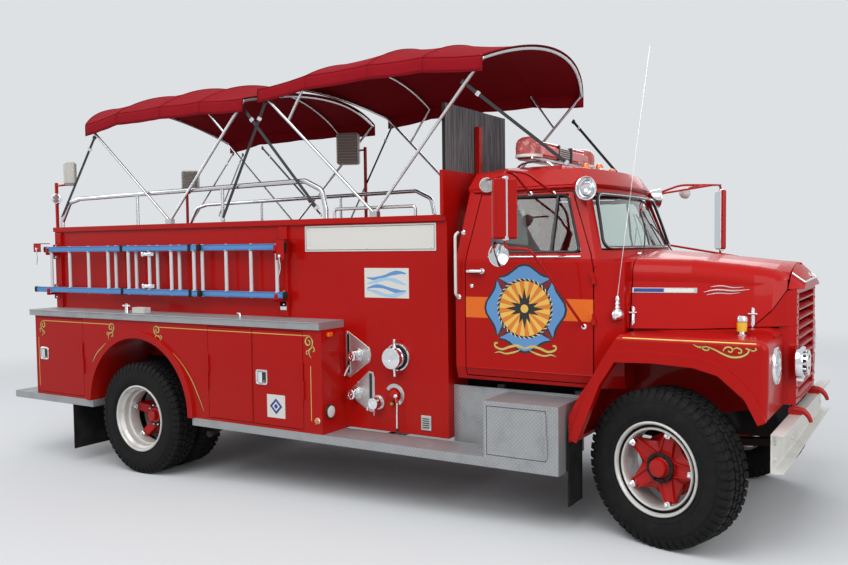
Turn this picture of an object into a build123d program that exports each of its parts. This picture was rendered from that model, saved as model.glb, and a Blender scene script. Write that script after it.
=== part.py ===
from build123d import *
import os
from math import atan2, cos, degrees, hypot, radians, sin, sqrt

# A conventional-cab fire engine with an open passenger bed. Millimetres.
# The pieces are drawn level: x = 0 at the front axle, +X forward, +Y to the left, z up
# from the datum of the axle heights. STANCE then sets the truck on its tyres, a little
# nose down, with its origin on the ground under the middle of its length.

# Chassis
WHEELBASE = 4850
FRONT_AXLE_Z = 556
REAR_AXLE_Z = 438
RAIL_Y = 430
RAIL_Z0 = 690
RAIL_Z1 = 930
RAIL_FLANGE = 76
RAIL_WALL = 10
RAIL_REAR_X = -6380
RAIL_FRONT_X = 612
PINION_REACH = 200
AXLE_TUBE_R = 70
SEAT_GAP = 0.3
SPRING_W = 76
SPRING_T = 50
FRONT_SPRING_HALF = 560
REAR_SPRING_HALF = 640

# Wheels
TYRE_R = 515
TYRE_W = 270
TYRE_BEAD_R = 288
FRONT_TRACK_Y = 1000
REAR_TRACK_Y = 1085
TWIN_PITCH = 325
KINGPIN_Y = 820
KINGPIN_R = 24
STEER_ANGLE = 16.9
SPINDLE_R = 34
REAR_SPINDLE_R = 55
SHAFT_CLEARANCE = 0.5
RIM_R = 288
RIM_FLANGE_R = 305
HUB_R = 98
HUB_CAP_R = 65
SPOKES = 5
REAR_HUB_R = 120

# Cab
CAB_REAR_X = -1630
CAB_SILL_Z = 1010
CAB_BELT_Z = 1881
CAB_GUTTER_Z = 2400
CAB_ROOF_Z = 2590
CAB_HALF_W = 940
CAB_ROOF_HALF_W = 758
CAB_WALL = 36
CAB_FLOOR_Z = 1035
COWL_X = -370
COWL_HALF_W = 850
COWL_FACE_X = -351
DOOR_REAR_X = -1552
DOOR_FRONT_X = -553
DOOR_GAP = 8
GLASS_T = 6

# Hood, fenders and nose
HOOD_REAR_X = -345
HOOD_RIDGE_Z = 1953
HOOD_SLOPE = 0.098
HOOD_T = 14
HOOD_SPLIT = 10
FENDER_Y = 1105
FENDER_INNER_Y = 520
FENDER_TOP_Z = 1408
FENDER_T = 26
GRILLE_X = 655
GRILLE_HALF_W = 380
GRILLE_Z0 = 930
GRILLE_Z1 = 1725
SLAT_PITCH = 65
SLAT_T = 14
BUMPER_X = 690
BUMPER_HALF_W = 1161
BUMPER_Z0 = 630
BUMPER_Z1 = 866
BUMPER_DEPTH = 75
BUMPER_T = 10
HOOK_Y = 456
HOOK_TIP_X = 757
HOOK_TIP_Z = 806

# Body
BODY_HALF_W = 911
BODY_REAR_X = -6420
BODY_FRONT_X = -1717
BODY_TOP_Z = 2237
BED_FLOOR_Z = 1409
BED_WALL = 30
RAIL_TUBE = 46
BULKHEAD_Z = 2570
PUMP_REAR_X = -2690
PUMP_BOTTOM_Z = 533
LOCKER_Y = 1220
LOCKER_INNER_Y = 650
LOCKER_REAR_X = -6345
LOCKER_FRONT_X = -2690
LOCKER_TOP_Z = 1350
LOCKER_WALL = 24
ARCH_X = -4830
ARCH_Z = 530
ARCH_R = 657
PLATE_T = 59
BOARD_Z0 = 450
BOARD_Z1 = 518
BOARD_REAR_X = -4140
BOARD_FRONT_X = -700
STEP_REAR_X = -6717
STEP_FRONT_X = -5485
STEP_Z0 = 490
STEP_Z1 = 558
LEAF_T = 20
LEAF_GAP = 5
TOOL_BOX_REAR_X = -1262
TOOL_BOX_TOP_Z = 918
TOOL_BOX_BACK_Y = 831

# Barrel hinges, standing proud of the panel they carry
CAB_HINGE_R = 10
CAB_HINGE_OFF = 12
CAB_HINGE_Z = (1470, 1750)
CAB_HINGE_H = 40
LEAF_HINGE_R = 6
LEAF_HINGE_OFF = 8
LEAF_HINGE_H = 150

# Ladder
LADDER_Y = 1020
LADDER_RAIL_W = 26
LADDER_RAIL_H = 64
RUNG_R = 16
RUNG_PITCH = 293

# Handrails and canopies
PIPE_R = 22
CANOPY_HALF_W = 1000
CANOPY_T = 12
BOW_R = 13
BOW_FOOT_Y = 905
HEM_DROP = 120

RAKE = degrees(atan2(FRONT_AXLE_Z - REAR_AXLE_Z, WHEELBASE))
SETTLE = TYRE_R - FRONT_AXLE_Z * cos(radians(RAKE))


def level_to_ground_x(x, z):
    return x * cos(radians(RAKE)) + z * sin(radians(RAKE))


NOSE_REACH = level_to_ground_x(HOOK_TIP_X, HOOK_TIP_Z)
TAIL_REACH = level_to_ground_x(STEP_REAR_X, STEP_Z0)
STANCE = Location((-(NOSE_REACH + TAIL_REACH) / 2, 0, SETTLE), (0, RAKE, 0))

os.makedirs("parts", exist_ok=True)


def save(part, label):
    piece = part.moved(STANCE)
    piece.label = label
    export_step(piece, f"parts/{label}.step")


# Frame rails: two channels, open inwards, with cross-members
CROSS_MEMBERS = (
    # x, underside
    (560, 700), (-1250, 862), (-2750, 862), (-3900, 862), (-5700, 700), (-6340, 700),
)
with BuildPart() as frame_rails:
    for side in (-1, 1):
        with BuildSketch(Plane.YZ.offset(RAIL_REAR_X)) as channel:
            with Locations((side * (RAIL_Y - RAIL_FLANGE / 2), (RAIL_Z0 + RAIL_Z1) / 2)):
                Rectangle(RAIL_FLANGE, RAIL_Z1 - RAIL_Z0)
            with Locations((side * (RAIL_Y - RAIL_WALL - RAIL_FLANGE / 2), (RAIL_Z0 + RAIL_Z1) / 2)):
                Rectangle(RAIL_FLANGE, RAIL_Z1 - RAIL_Z0 - 2 * RAIL_WALL, mode=Mode.SUBTRACT)
        extrude(amount=RAIL_FRONT_X - RAIL_REAR_X)
    for x, z0 in CROSS_MEMBERS:
        z1 = RAIL_Z1 - RAIL_WALL
        with Locations((x, 0, (z0 + z1) / 2)):
            Box(50, 2 * (RAIL_Y - RAIL_WALL), z1 - z0)
save(frame_rails.part, "frame_rails")

# Leaf springs: a gently arched pack under each rail at each axle
with BuildPart() as leaf_springs:
    for x, axle_z, half, seat in (
        (0, FRONT_AXLE_Z, FRONT_SPRING_HALF, 46),
        (-WHEELBASE, REAR_AXLE_Z, REAR_SPRING_HALF, AXLE_TUBE_R + SEAT_GAP),
    ):
        z0 = axle_z + seat
        rise = RAIL_Z0 - z0 - SPRING_T
        for side in (-1, 1):
            with BuildSketch(Plane.XZ.offset(-side * (RAIL_Y - RAIL_FLANGE / 2) - SPRING_W / 2)):
                with BuildLine():
                    ThreePointArc((x - half, z0 + rise), (x, z0), (x + half, z0 + rise))
                    Line((x + half, z0 + rise), (x + half, z0 + rise + 50))
                    ThreePointArc((x + half, z0 + rise + 50), (x, z0 + SPRING_T), (x - half, z0 + rise + 50))
                    Line((x - half, z0 + rise + 50), (x - half, z0 + rise))
                make_face()
            extrude(amount=SPRING_W)
save(leaf_springs.part, "leaf_springs")

# Front axle: I-beam dropped between two kingpin eyes
with BuildPart() as front_axle:
    with BuildSketch(Plane.YZ.offset(-38)):
        with BuildLine():
            Polyline(
                (-KINGPIN_Y + 20, FRONT_AXLE_Z - 30), (-KINGPIN_Y + 20, FRONT_AXLE_Z + 34),
                (-560, FRONT_AXLE_Z + 46), (560, FRONT_AXLE_Z + 46),
                (KINGPIN_Y - 20, FRONT_AXLE_Z + 34), (KINGPIN_Y - 20, FRONT_AXLE_Z - 30),
                (540, FRONT_AXLE_Z - 52), (-540, FRONT_AXLE_Z - 52),
                close=True,
            )
        make_face()
    extrude(amount=76)
    for side in (-1, 1):
        with Locations((0, side * KINGPIN_Y, FRONT_AXLE_Z)):
            Cylinder(40, 90)
            Hole(KINGPIN_R + SHAFT_CLEARANCE)
save(front_axle.part, "front_axle")

# Rear axle: banjo housing with the two hub spindles
with BuildPart() as rear_axle:
    with Locations(Location((-WHEELBASE, 0, REAR_AXLE_Z), (90, 0, 0))):
        Cylinder(AXLE_TUBE_R, 1000)
        Cylinder(REAR_SPINDLE_R, 2 * 1000)
        Cylinder(185, 150)
    with Locations((-WHEELBASE + PINION_REACH / 2, 0, REAR_AXLE_Z)):
        Cylinder(80, PINION_REACH, rotation=(0, 90, 0))
save(rear_axle.part, "rear_axle")

# Engine, gearbox, propeller shaft and exhaust on the frame
with BuildPart() as powertrain:
    with Locations((130, 0, 1125)):
        Box(760, 520, 540)
    with Locations((130, 0, 1445)):
        Box(560, 300, 100)
    with Locations((-480, 0, 860)):
        Box(460, 360, 280)
    with Locations((540, 0, (RAIL_Z1 - RAIL_WALL + 1438) / 2)):
        Box(60, 620, 1438 - RAIL_Z1 + RAIL_WALL)
    with BuildSketch(Plane.YZ.offset(-WHEELBASE + PINION_REACH)):
        with Locations((0, REAR_AXLE_Z)):
            Circle(48)
    with BuildSketch(Plane.YZ.offset(-705)):
        with Locations((0, 850)):
            Circle(48)
    loft()
save(powertrain.part, "powertrain")

# Tyre, drawn about its own axle: outer face towards +Z
half = TYRE_W / 2
with BuildPart() as tyre:
    with BuildSketch(Plane.XZ):
        with BuildLine():
            Polyline(
                (TYRE_BEAD_R, -half + 38), (TYRE_BEAD_R + 30, -half + 16), (400, -half),
                (475, -half + 14), (TYRE_R, -half + 40), (TYRE_R, half - 40),
                (475, half - 14), (400, half), (TYRE_BEAD_R + 30, half - 16),
                (TYRE_BEAD_R, half - 38), close=True,
            )
        make_face()
    revolve(axis=Axis.Z)

# Demountable rim ring
with BuildPart() as rim_ring:
    with BuildSketch(Plane.XZ):
        with BuildLine():
            Polyline(
                (RIM_R - 22, -half + 24), (RIM_R - 12, -half + 24), (RIM_R - 0.3, -half + 36),
                (RIM_R - 0.3, half - 36), (RIM_FLANGE_R, half - 15), (RIM_FLANGE_R, half - 5),
                (RIM_R - 6, half - 5), (RIM_R - 22, half - 40),
                close=True,
            )
        make_face()
    revolve(axis=Axis.Z)

# Front wheel: a cast hub with channelled spokes, and wedge clamps that hold the rim ring
with BuildPart() as front_rim:
    add(rim_ring.part)
    with BuildSketch(Plane.XY.offset(-110)):
        Circle(205)
    extrude(amount=70)
    with BuildSketch(Plane.XY.offset(-60)):
        Circle(HUB_R)
    extrude(amount=110)
    for i in range(SPOKES):
        spoke = Rotation(0, 0, i * 360 / SPOKES)
        with BuildSketch(Plane.XY.offset(-40)):
            with Locations(spoke):
                with Locations((HUB_R - 20, 0)):
                    Trapezoid(108, RIM_R - 34 - HUB_R + 20, 85, rotation=-90, align=(Align.CENTER, Align.MIN))
        extrude(amount=102)
        with BuildSketch(Plane.XY.offset(46)):
            with Locations(spoke):
                with Locations((HUB_R, 0)):
                    Trapezoid(78, RIM_R - HUB_R, 86, rotation=-90, align=(Align.CENTER, Align.MIN))
        extrude(amount=30, mode=Mode.SUBTRACT)
        with BuildSketch(Plane.XY.offset(40)):
            with Locations(spoke):
                with Locations((RIM_R - 48, 0)):
                    Rectangle(54, 44)
        extrude(amount=46)
    with BuildSketch(Plane.XY.offset(40)):
        Circle(HUB_R)
    extrude(amount=30)
    with BuildSketch(Plane.XY.offset(60)):
        Circle(HUB_CAP_R)
    extrude(amount=45, taper=6)
    with Locations((0, 0, -110)):
        Cylinder(
            SPINDLE_R + SHAFT_CLEARANCE, 130, align=(Align.CENTER, Align.CENTER, Align.MIN), mode=Mode.SUBTRACT
        )

# Rear twin wheel: two rims on one cast hub, the outer one deeply dished
with BuildPart() as rear_rims:
    add(rim_ring.part)
    with Locations((0, 0, -TWIN_PITCH)):
        add(rim_ring.part)
    with BuildSketch(Plane.XY.offset(-TWIN_PITCH - 90)):
        Circle(REAR_HUB_R)
    extrude(amount=TWIN_PITCH + 20)
    for i in range(SPOKES):
        with BuildSketch(Plane.XY.offset(-TWIN_PITCH / 2 - 60)):
            with Locations(Rotation(0, 0, 90 + i * 360 / SPOKES)):
                with Locations((REAR_HUB_R - 20, 0)):
                    Trapezoid(110, RIM_R - 12 - REAR_HUB_R + 20, 80, rotation=-90, align=(Align.CENTER, Align.MIN))
        extrude(amount=120)
    with BuildSketch(Plane.XY.offset(-90)):
        Circle(RIM_R - 10)
        Circle(RIM_R - 42, mode=Mode.SUBTRACT)
    extrude(amount=112)
    with BuildSketch(Plane.XY.offset(-70)):
        Circle(86)
    extrude(amount=60, taper=8)
    with Locations((0, 0, -TWIN_PITCH - 90)):
        Cylinder(
            REAR_SPINDLE_R + SHAFT_CLEARANCE, TWIN_PITCH + 12,
            align=(Align.CENTER, Align.CENTER, Align.MIN), mode=Mode.SUBTRACT,
        )
with BuildPart() as rear_tyres:
    with Locations((0, 0, 0), (0, 0, -TWIN_PITCH)):
        add(tyre.part)

# Steering knuckle for the right side, drawn straight ahead about the kingpin
with BuildPart() as knuckle:
    with BuildSketch(Plane.XY.offset(-92)):
        Circle(62)
    extrude(amount=184)
    with BuildSketch(Plane.XY.offset(-50)):
        Circle(52)
        with Locations((0, 70)):
            Rectangle(220, 140)
        with Locations((0, 10)):
            Rectangle(220, 100)
    extrude(amount=100, mode=Mode.SUBTRACT)
    Cylinder(KINGPIN_R, 184)
    with Locations(Location((0, -52, 0), (90, 0, 0))):
        Cylinder(SPINDLE_R, 136, align=(Align.CENTER, Align.CENTER, Align.MIN))
        Cylinder(58, 14, align=(Align.CENTER, Align.CENTER, Align.MIN))

for name, side in (("right", -1), ("left", 1)):
    pivot = Plane(origin=(0, side * KINGPIN_Y, FRONT_AXLE_Z), x_dir=(1, 0, 0), z_dir=(0, 0, 1))
    turned = pivot.location * Rotation(0, 0, -STEER_ANGLE)
    faced = turned * Rotation(0, 0, 0 if side < 0 else 180)
    out = faced * Pos(0, -(FRONT_TRACK_Y - KINGPIN_Y), 0) * Rotation(90, 0, 0)
    save(knuckle.part.moved(faced), f"knuckle_{name}")
    save(front_rim.part.moved(out), f"rim_front_{name}")
    save(tyre.part.moved(out), f"tyre_front_{name}")
    rear = Location((-WHEELBASE, side * REAR_TRACK_Y, REAR_AXLE_Z), (-90 * side, 0, 0))
    save(rear_rims.part.moved(rear), f"rims_rear_{name}")
    save(rear_tyres.part.moved(rear), f"tyres_rear_{name}")

# Cab skin: the whole hollow cab, from which the doors are parted
CAB_LEVELS = (
    (1850, CAB_HALF_W, CAB_REAR_X, -540, -380),
    (CAB_BELT_Z + 20, CAB_HALF_W - 8, CAB_REAR_X, -545, -380),
    (CAB_GUTTER_Z, CAB_ROOF_HALF_W, CAB_REAR_X + 30, -690, -600),
    (CAB_GUTTER_Z + 30, CAB_ROOF_HALF_W + 6, CAB_REAR_X + 20, -670, -570),
    (CAB_ROOF_Z - 45, CAB_ROOF_HALF_W - 58, CAB_REAR_X + 60, -740, -640),
    (CAB_ROOF_Z, CAB_ROOF_HALF_W - 240, CAB_REAR_X + 220, -960, -880),
)
with BuildPart() as cab_skin:
    for z, w, x_rear, x_side, x_mid in CAB_LEVELS:
        with BuildSketch(Plane.XY.offset(z)):
            with BuildLine():
                Polyline((x_side, w), (x_rear, w), (x_rear, -w), (x_side, -w))
                ThreePointArc((x_side, -w), (x_mid, 0), (x_side, w))
            make_face()
    loft(ruled=True)
    with BuildSketch(Plane.XY.offset(CAB_SILL_Z)):
        Polygon(
            (CAB_REAR_X, CAB_HALF_W - 30), (CAB_REAR_X, -CAB_HALF_W + 30), (-560, -CAB_HALF_W + 30),
            (COWL_X, -COWL_HALF_W + 20), (COWL_X, COWL_HALF_W - 20), (-560, CAB_HALF_W - 30), align=None,
        )
    with BuildSketch(Plane.XY.offset(CAB_SILL_Z + 90)):
        Polygon(
            (CAB_REAR_X, CAB_HALF_W), (CAB_REAR_X, -CAB_HALF_W), (-560, -CAB_HALF_W),
            (COWL_X, -COWL_HALF_W), (COWL_X, COWL_HALF_W), (-560, CAB_HALF_W), align=None,
        )
    loft(ruled=True)
    with BuildSketch(Plane.XY.offset(CAB_SILL_Z + 90)):
        Polygon(
            (CAB_REAR_X, CAB_HALF_W), (CAB_REAR_X, -CAB_HALF_W), (-560, -CAB_HALF_W),
            (COWL_X, -COWL_HALF_W), (COWL_X, COWL_HALF_W), (-560, CAB_HALF_W), align=None,
        )
    extrude(amount=CAB_BELT_Z - CAB_SILL_Z - 90)
    with BuildSketch(Plane.YZ.offset(COWL_FACE_X)):
        with BuildLine():
            Polyline((-COWL_HALF_W + 20, 1600), (-810, 1425), (810, 1425), (COWL_HALF_W - 20, 1600), (745, 1745))
            ThreePointArc((745, 1745), (709, 1869), (600, 1905))
            ThreePointArc((600, 1905), (0, HOOD_RIDGE_Z), (-600, 1905))
            ThreePointArc((-600, 1905), (-709, 1869), (-745, 1745))
            Line((-745, 1745), (-COWL_HALF_W + 20, 1600))
        make_face()
    extrude(amount=-130)
    wall = CAB_WALL
    with BuildSketch(Plane.XY.offset(CAB_FLOOR_Z)):
        Polygon(
            (CAB_REAR_X + wall, CAB_HALF_W - wall - 24), (CAB_REAR_X + wall, -CAB_HALF_W + wall + 24),
            (-560, -CAB_HALF_W + wall + 24), (COWL_X - wall, -COWL_HALF_W + wall + 20),
            (COWL_X - wall, COWL_HALF_W - wall - 20), (-560, CAB_HALF_W - wall - 24), align=None,
        )
    extrude(amount=1852 - CAB_FLOOR_Z, mode=Mode.SUBTRACT)
    for z, w, x_rear, x_side, x_mid in CAB_LEVELS[:3] + CAB_LEVELS[4:5]:
        low = z if z < CAB_GUTTER_Z + 20 else z - 30
        with BuildSketch(Plane.XY.offset(low)):
            with BuildLine():
                Polyline(
                    (x_side - wall, w - wall), (x_rear + wall, w - wall),
                    (x_rear + wall, -w + wall), (x_side - wall, -w + wall),
                )
                ThreePointArc((x_side - wall, -w + wall), (x_mid - wall, 0), (x_side - wall, w - wall))
            make_face()
    loft(ruled=True, mode=Mode.SUBTRACT)

DOOR_OUTLINE = (
    (DOOR_REAR_X, CAB_FLOOR_Z), (DOOR_REAR_X, CAB_BELT_Z), (DOOR_REAR_X + 52, CAB_GUTTER_Z - 16),
    (-768, CAB_GUTTER_Z - 16), (DOOR_FRONT_X - 22, CAB_BELT_Z + 50), (DOOR_FRONT_X, CAB_BELT_Z - 40),
    (DOOR_FRONT_X, CAB_FLOOR_Z),
)
WINDOW_OUTLINE = (
    (-1362, CAB_BELT_Z + 62), (-1322, CAB_GUTTER_Z - 40), (-800, CAB_GUTTER_Z - 40), (-650, CAB_BELT_Z + 62),
)
WINDSHIELD_OUTLINE = (
    (-830, CAB_BELT_Z + 78), (-690, CAB_GUTTER_Z - 28), (690, CAB_GUTTER_Z - 28), (830, CAB_BELT_Z + 78),
)
CAB_HINGE_X = DOOR_FRONT_X - DOOR_GAP / 2
REAR_WINDOW_W = 1100
REAR_WINDOW_H = 320
REAR_WINDOW_Z = 2150

with BuildPart() as cab_shell:
    add(cab_skin.part)
    with BuildSketch(Plane.XZ.offset(-1000)):
        Polygon(*DOOR_OUTLINE, align=None)
    extrude(amount=400, mode=Mode.SUBTRACT)
    with BuildSketch(Plane.XZ.offset(600)):
        Polygon(*DOOR_OUTLINE, align=None)
    extrude(amount=400, mode=Mode.SUBTRACT)
    with BuildSketch(Plane.YZ.offset(-860)):
        Polygon(*WINDSHIELD_OUTLINE, align=None)
    extrude(amount=600, mode=Mode.SUBTRACT)
    with Locations((CAB_REAR_X, 0, REAR_WINDOW_Z)):
        Box(200, REAR_WINDOW_W, REAR_WINDOW_H, mode=Mode.SUBTRACT)
    for side in (-1, 1):
        for z in CAB_HINGE_Z:
            with Locations((CAB_HINGE_X, side * (CAB_HALF_W + CAB_HINGE_OFF), z)):
                Cylinder(CAB_HINGE_R, CAB_HINGE_H)
                with Locations((11, -side * 5, 0)):
                    Box(22, 22, CAB_HINGE_H)
    for x in (-1480, -660):
        for side in (-1, 1):
            with Locations((x, side * (RAIL_Y - RAIL_FLANGE / 2), (RAIL_Z1 + SEAT_GAP + CAB_SILL_Z + 10) / 2)):
                Box(120, 66, CAB_SILL_Z + 10 - RAIL_Z1 - SEAT_GAP)
save(cab_shell.part, "cab_shell")

# Glass: thin slices of the same skin, filling the openings
with BuildPart() as cab_pane:
    for z, w, x_rear, x_side, x_mid in CAB_LEVELS[:3]:
        d = CAB_WALL / 2 - GLASS_T / 2
        with BuildSketch(Plane.XY.offset(z)):
            with BuildLine():
                Polyline((x_side - d, w - d), (x_rear + d, w - d), (x_rear + d, -w + d), (x_side - d, -w + d))
                ThreePointArc((x_side - d, -w + d), (x_mid - d, 0), (x_side - d, w - d))
            make_face()
    loft(ruled=True)
    for z, w, x_rear, x_side, x_mid in CAB_LEVELS[:3]:
        d = CAB_WALL / 2 + GLASS_T / 2
        with BuildSketch(Plane.XY.offset(z)):
            with BuildLine():
                Polyline((x_side - d, w - d), (x_rear + d, w - d), (x_rear + d, -w + d), (x_side - d, -w + d))
                ThreePointArc((x_side - d, -w + d), (x_mid - d, 0), (x_side - d, w - d))
            make_face()
    loft(ruled=True, mode=Mode.SUBTRACT)
with BuildPart() as cab_glass:
    add(cab_pane.part)
    with BuildSketch(Plane.YZ.offset(-860)):
        Polygon(*WINDSHIELD_OUTLINE, align=None)
    extrude(amount=600, mode=Mode.INTERSECT)
with BuildPart() as rear_glass:
    add(cab_pane.part)
    with Locations((CAB_REAR_X, 0, REAR_WINDOW_Z)):
        Box(200, REAR_WINDOW_W, REAR_WINDOW_H, mode=Mode.INTERSECT)
save(Compound(children=[cab_glass.part, rear_glass.part]), "cab_glass")

# Doors, parted from the skin by a clearance all round
with BuildPart() as door:
    add(cab_skin.part)
    with BuildSketch(Plane.XZ.offset(600)):
        Polygon(*DOOR_OUTLINE, align=None)
        offset(amount=-DOOR_GAP, kind=Kind.INTERSECTION, mode=Mode.REPLACE)
    extrude(amount=400, mode=Mode.INTERSECT)
    with BuildSketch(Plane.XZ.offset(600)):
        Polygon(*WINDOW_OUTLINE, align=None)
    extrude(amount=400, mode=Mode.SUBTRACT)
    with Locations((-1457, -CAB_HALF_W - 14, 1814)):
        Box(120, 28, 26)
    for z in CAB_HINGE_Z:
        with Locations((CAB_HINGE_X, -CAB_HALF_W - CAB_HINGE_OFF, z + CAB_HINGE_H + SEAT_GAP)):
            Cylinder(CAB_HINGE_R, CAB_HINGE_H)
            with Locations((-11, 5, 0)):
                Box(22, 22, CAB_HINGE_H)
with BuildPart() as door_glass:
    add(cab_pane.part)
    with BuildSketch(Plane.XZ.offset(600)):
        Polygon(*WINDOW_OUTLINE, align=None)
    extrude(amount=400, mode=Mode.INTERSECT)
save(door.part, "cab_door_right")
save(mirror(door.part, about=Plane.XZ), "cab_door_left")
save(door_glass.part, "door_glass_right")
save(mirror(door_glass.part, about=Plane.XZ), "door_glass_left")

# Cab interior: dash, column and steering wheel, and a bench seat
with BuildPart() as cab_interior:
    with Locations(((COWL_X - CAB_WALL - 560) / 2, 0, 1700)):
        Box(560 + COWL_X - CAB_WALL, 1500, 250)
    with BuildSketch(Plane.XY.offset(CAB_FLOOR_Z)):
        with Locations((-560, 0)):
            Rectangle(300, 520)
    extrude(amount=260, taper=12)
    column = Plane(origin=(-570, 420, 1620), z_dir=(-0.60, 0, 0.80))
    with BuildSketch(column):
        Circle(24)
    extrude(amount=190)
    with BuildSketch(column.offset(180)):
        Circle(225)
        Circle(200, mode=Mode.SUBTRACT)
        Rectangle(420, 34)
    extrude(amount=24)
save(cab_interior.part, "cab_interior")
with BuildPart() as cab_seat:
    with Locations((-1260, 0, CAB_FLOOR_Z + 190)):
        Box(440, 1560, 380)
    with BuildSketch(Plane.XZ.offset(-780)):
        Polygon(
            (-1480, CAB_FLOOR_Z), (-1430, CAB_FLOOR_Z + 380), (-1470, 1868), (-1583, 1868), (-1588, CAB_FLOOR_Z),
            align=None,
        )
    extrude(amount=1560)

LAMP_X = 585
LAMP_Y = 850
LAMP_Z = 1235
LAMP_R = 115

# Fenders: a skin over the wheel, open below and towards the wheel
FENDER_OUTLINE = (
    (588, 1350), (588, 1080), (582, 930), (560, 905), (520, 915), (-673, 665), (-673, 840), (-600, 985),
    (-520, 1100), (-445, 1236), (-330, FENDER_TOP_Z), (530, FENDER_TOP_Z),
)
FENDER_BROW = ((530, FENDER_TOP_Z), (571, 1391), (588, 1350))
# Raised shelf along the foot of the hood
FENDER_SHELF = (
    (-344, 1400), (-344, 1419), (30, 1424), (300, 1434), (410, 1444), (500, 1444), (550, 1434), (576, 1400),
)
SHELF_Y = (524, 752)
ARCH_OUTLINE = (
    (-616, 600), (-616, 665), (-454, 1071), (-352, 1230), (-100, 1238), (150, 1225),
    (300, 1185), (458, 1049), (535, 900), (560, 600),
)
FLARE_INNER = (
    (-616, 665), (-454, 1071), (-352, 1230), (-100, 1238), (150, 1225), (300, 1185), (458, 1049), (535, 900),
)
FLARE_OUTER = (
    (-670, 690), (-520, 1085), (-392, 1300), (-100, 1312), (170, 1298), (345, 1244), (508, 1092), (583, 925),
)
with BuildPart() as fender_right:
    with BuildSketch(Plane.XZ.offset(FENDER_INNER_Y)):
        with BuildLine():
            Polyline(*FENDER_OUTLINE)
            ThreePointArc(*FENDER_BROW)
        make_face()
    extrude(amount=FENDER_Y - FENDER_INNER_Y)
    outer_edges = fender_right.edges().filter_by_position(Axis.Y, -FENDER_Y - 1, -FENDER_Y + 1)
    brow = outer_edges.filter_by(lambda e: e.center().X > 560 and e.center().Z > 1085)
    crest = outer_edges.filter_by(lambda e: abs(e.center().Z - FENDER_TOP_Z) < 1)
    fillet(crest + brow, radius=40)
    with BuildSketch(Plane.XZ.offset(FENDER_INNER_Y + FENDER_T)):
        with BuildLine():
            Polyline(*FENDER_OUTLINE)
            ThreePointArc(*FENDER_BROW)
        make_face()
        offset(amount=-FENDER_T, kind=Kind.INTERSECTION, mode=Mode.REPLACE)
    extrude(amount=FENDER_Y - FENDER_INNER_Y - 70 - FENDER_T, mode=Mode.SUBTRACT)
    with BuildSketch(Plane.XZ.offset(FENDER_INNER_Y + FENDER_T)):
        with BuildLine():
            Polyline(*ARCH_OUTLINE, close=True)
        make_face()
    extrude(amount=800, mode=Mode.SUBTRACT)
    with BuildSketch(Plane.XY.offset(CAB_SILL_Z - 1)):
        Polygon(
            (CAB_REAR_X, -CAB_HALF_W - 1), (-560, -CAB_HALF_W - 1), (COWL_X + 1, -COWL_HALF_W - 1),
            (COWL_X + 1, 0), (CAB_REAR_X, 0), align=None,
        )
    extrude(amount=600, mode=Mode.SUBTRACT)
    with Locations(Location((LAMP_X - 60, -LAMP_Y, LAMP_Z), (0, 90, 0))):
        Cylinder(LAMP_R + 1, 300, align=(Align.CENTER, Align.CENTER, Align.MIN), mode=Mode.SUBTRACT)
    with BuildSketch(Plane.XZ.offset(FENDER_Y)):
        with BuildLine():
            Polyline(*FLARE_OUTER, *FLARE_INNER[::-1], close=True)
        make_face()
    extrude(amount=14)
    with BuildSketch(Plane.XZ.offset(SHELF_Y[0])):
        Polygon(*FENDER_SHELF, align=None)
    extrude(amount=SHELF_Y[1] - SHELF_Y[0])
save(fender_right.part, "fender_right")
save(mirror(fender_right.part, about=Plane.XZ), "fender_left")

# Hood halves, hinged on the sloping centre line
HOOD_SECTIONS = (
    # x, shoulder y, shoulder z, side y, bottom y, bottom z
    (HOOD_REAR_X, 600, 1905, 745, 805, 1425),
    (30, 540, 1893, 680, 735, 1430),
    (300, 470, 1862, 605, 655, 1440),
    (410, 440, 1846, 570, 615, 1450),
    (520, 400, 1822, 520, 560, 1560),
    (600, 370, 1796, 470, 492, 1690),
)
with BuildPart() as hood_right:
    for x, y_sh, z_sh, y_side, y_low, z_low in HOOD_SECTIONS:
        ridge = HOOD_RIDGE_Z - HOOD_SLOPE * (x - HOOD_REAR_X)
        t = HOOD_T
        z_mid = (z_sh * 2 + z_low) / 3
        with BuildSketch(Plane.YZ.offset(x)):
            with BuildLine():
                ThreePointArc((-HOOD_SPLIT / 2, ridge), (-y_sh / 2, (ridge + z_sh) / 2 + 8), (-y_sh, z_sh))
                ThreePointArc((-y_sh, z_sh), (-(y_sh + 2 * y_side) / 3 - 12, z_sh - 36), (-y_side, z_mid))
                Line((-y_side, z_mid), (-y_low, z_low))
                Line((-y_low, z_low), (-y_low + t, z_low))
                Line((-y_low + t, z_low), (-y_side + t, z_mid - 4))
                ThreePointArc(
                    (-y_side + t, z_mid - 4), (-(y_sh + 2 * y_side) / 3 - 2, z_sh - 46), (-y_sh, z_sh - t)
                )
                ThreePointArc(
                    (-y_sh, z_sh - t), (-y_sh / 2, (ridge + z_sh) / 2 + 8 - t), (-HOOD_SPLIT / 2, ridge - t)
                )
                Line((-HOOD_SPLIT / 2, ridge - t), (-HOOD_SPLIT / 2, ridge))
            make_face()
    loft(ruled=True)
save(hood_right.part, "hood_right")
save(mirror(hood_right.part, about=Plane.XZ), "hood_left")

# Grille shell: nose cap, cheeks, the louvred front, and the spine that carries the hood hinges
NOSE_SECTIONS = (
    # x, half width and height of the lower edge, shoulder y and z, ridge z
    (606, 488, 1694, 366, 1786, 1856), (650, 455, 1690, 350, 1752, 1812), (692, 392, 1690, 330, 1716, 1748),
)
SHOULDER_Z = 1449
CHEEKS = ((450, FENDER_INNER_Y - 1), (530, 505), (612, 478), (GRILLE_X, 450))
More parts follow.
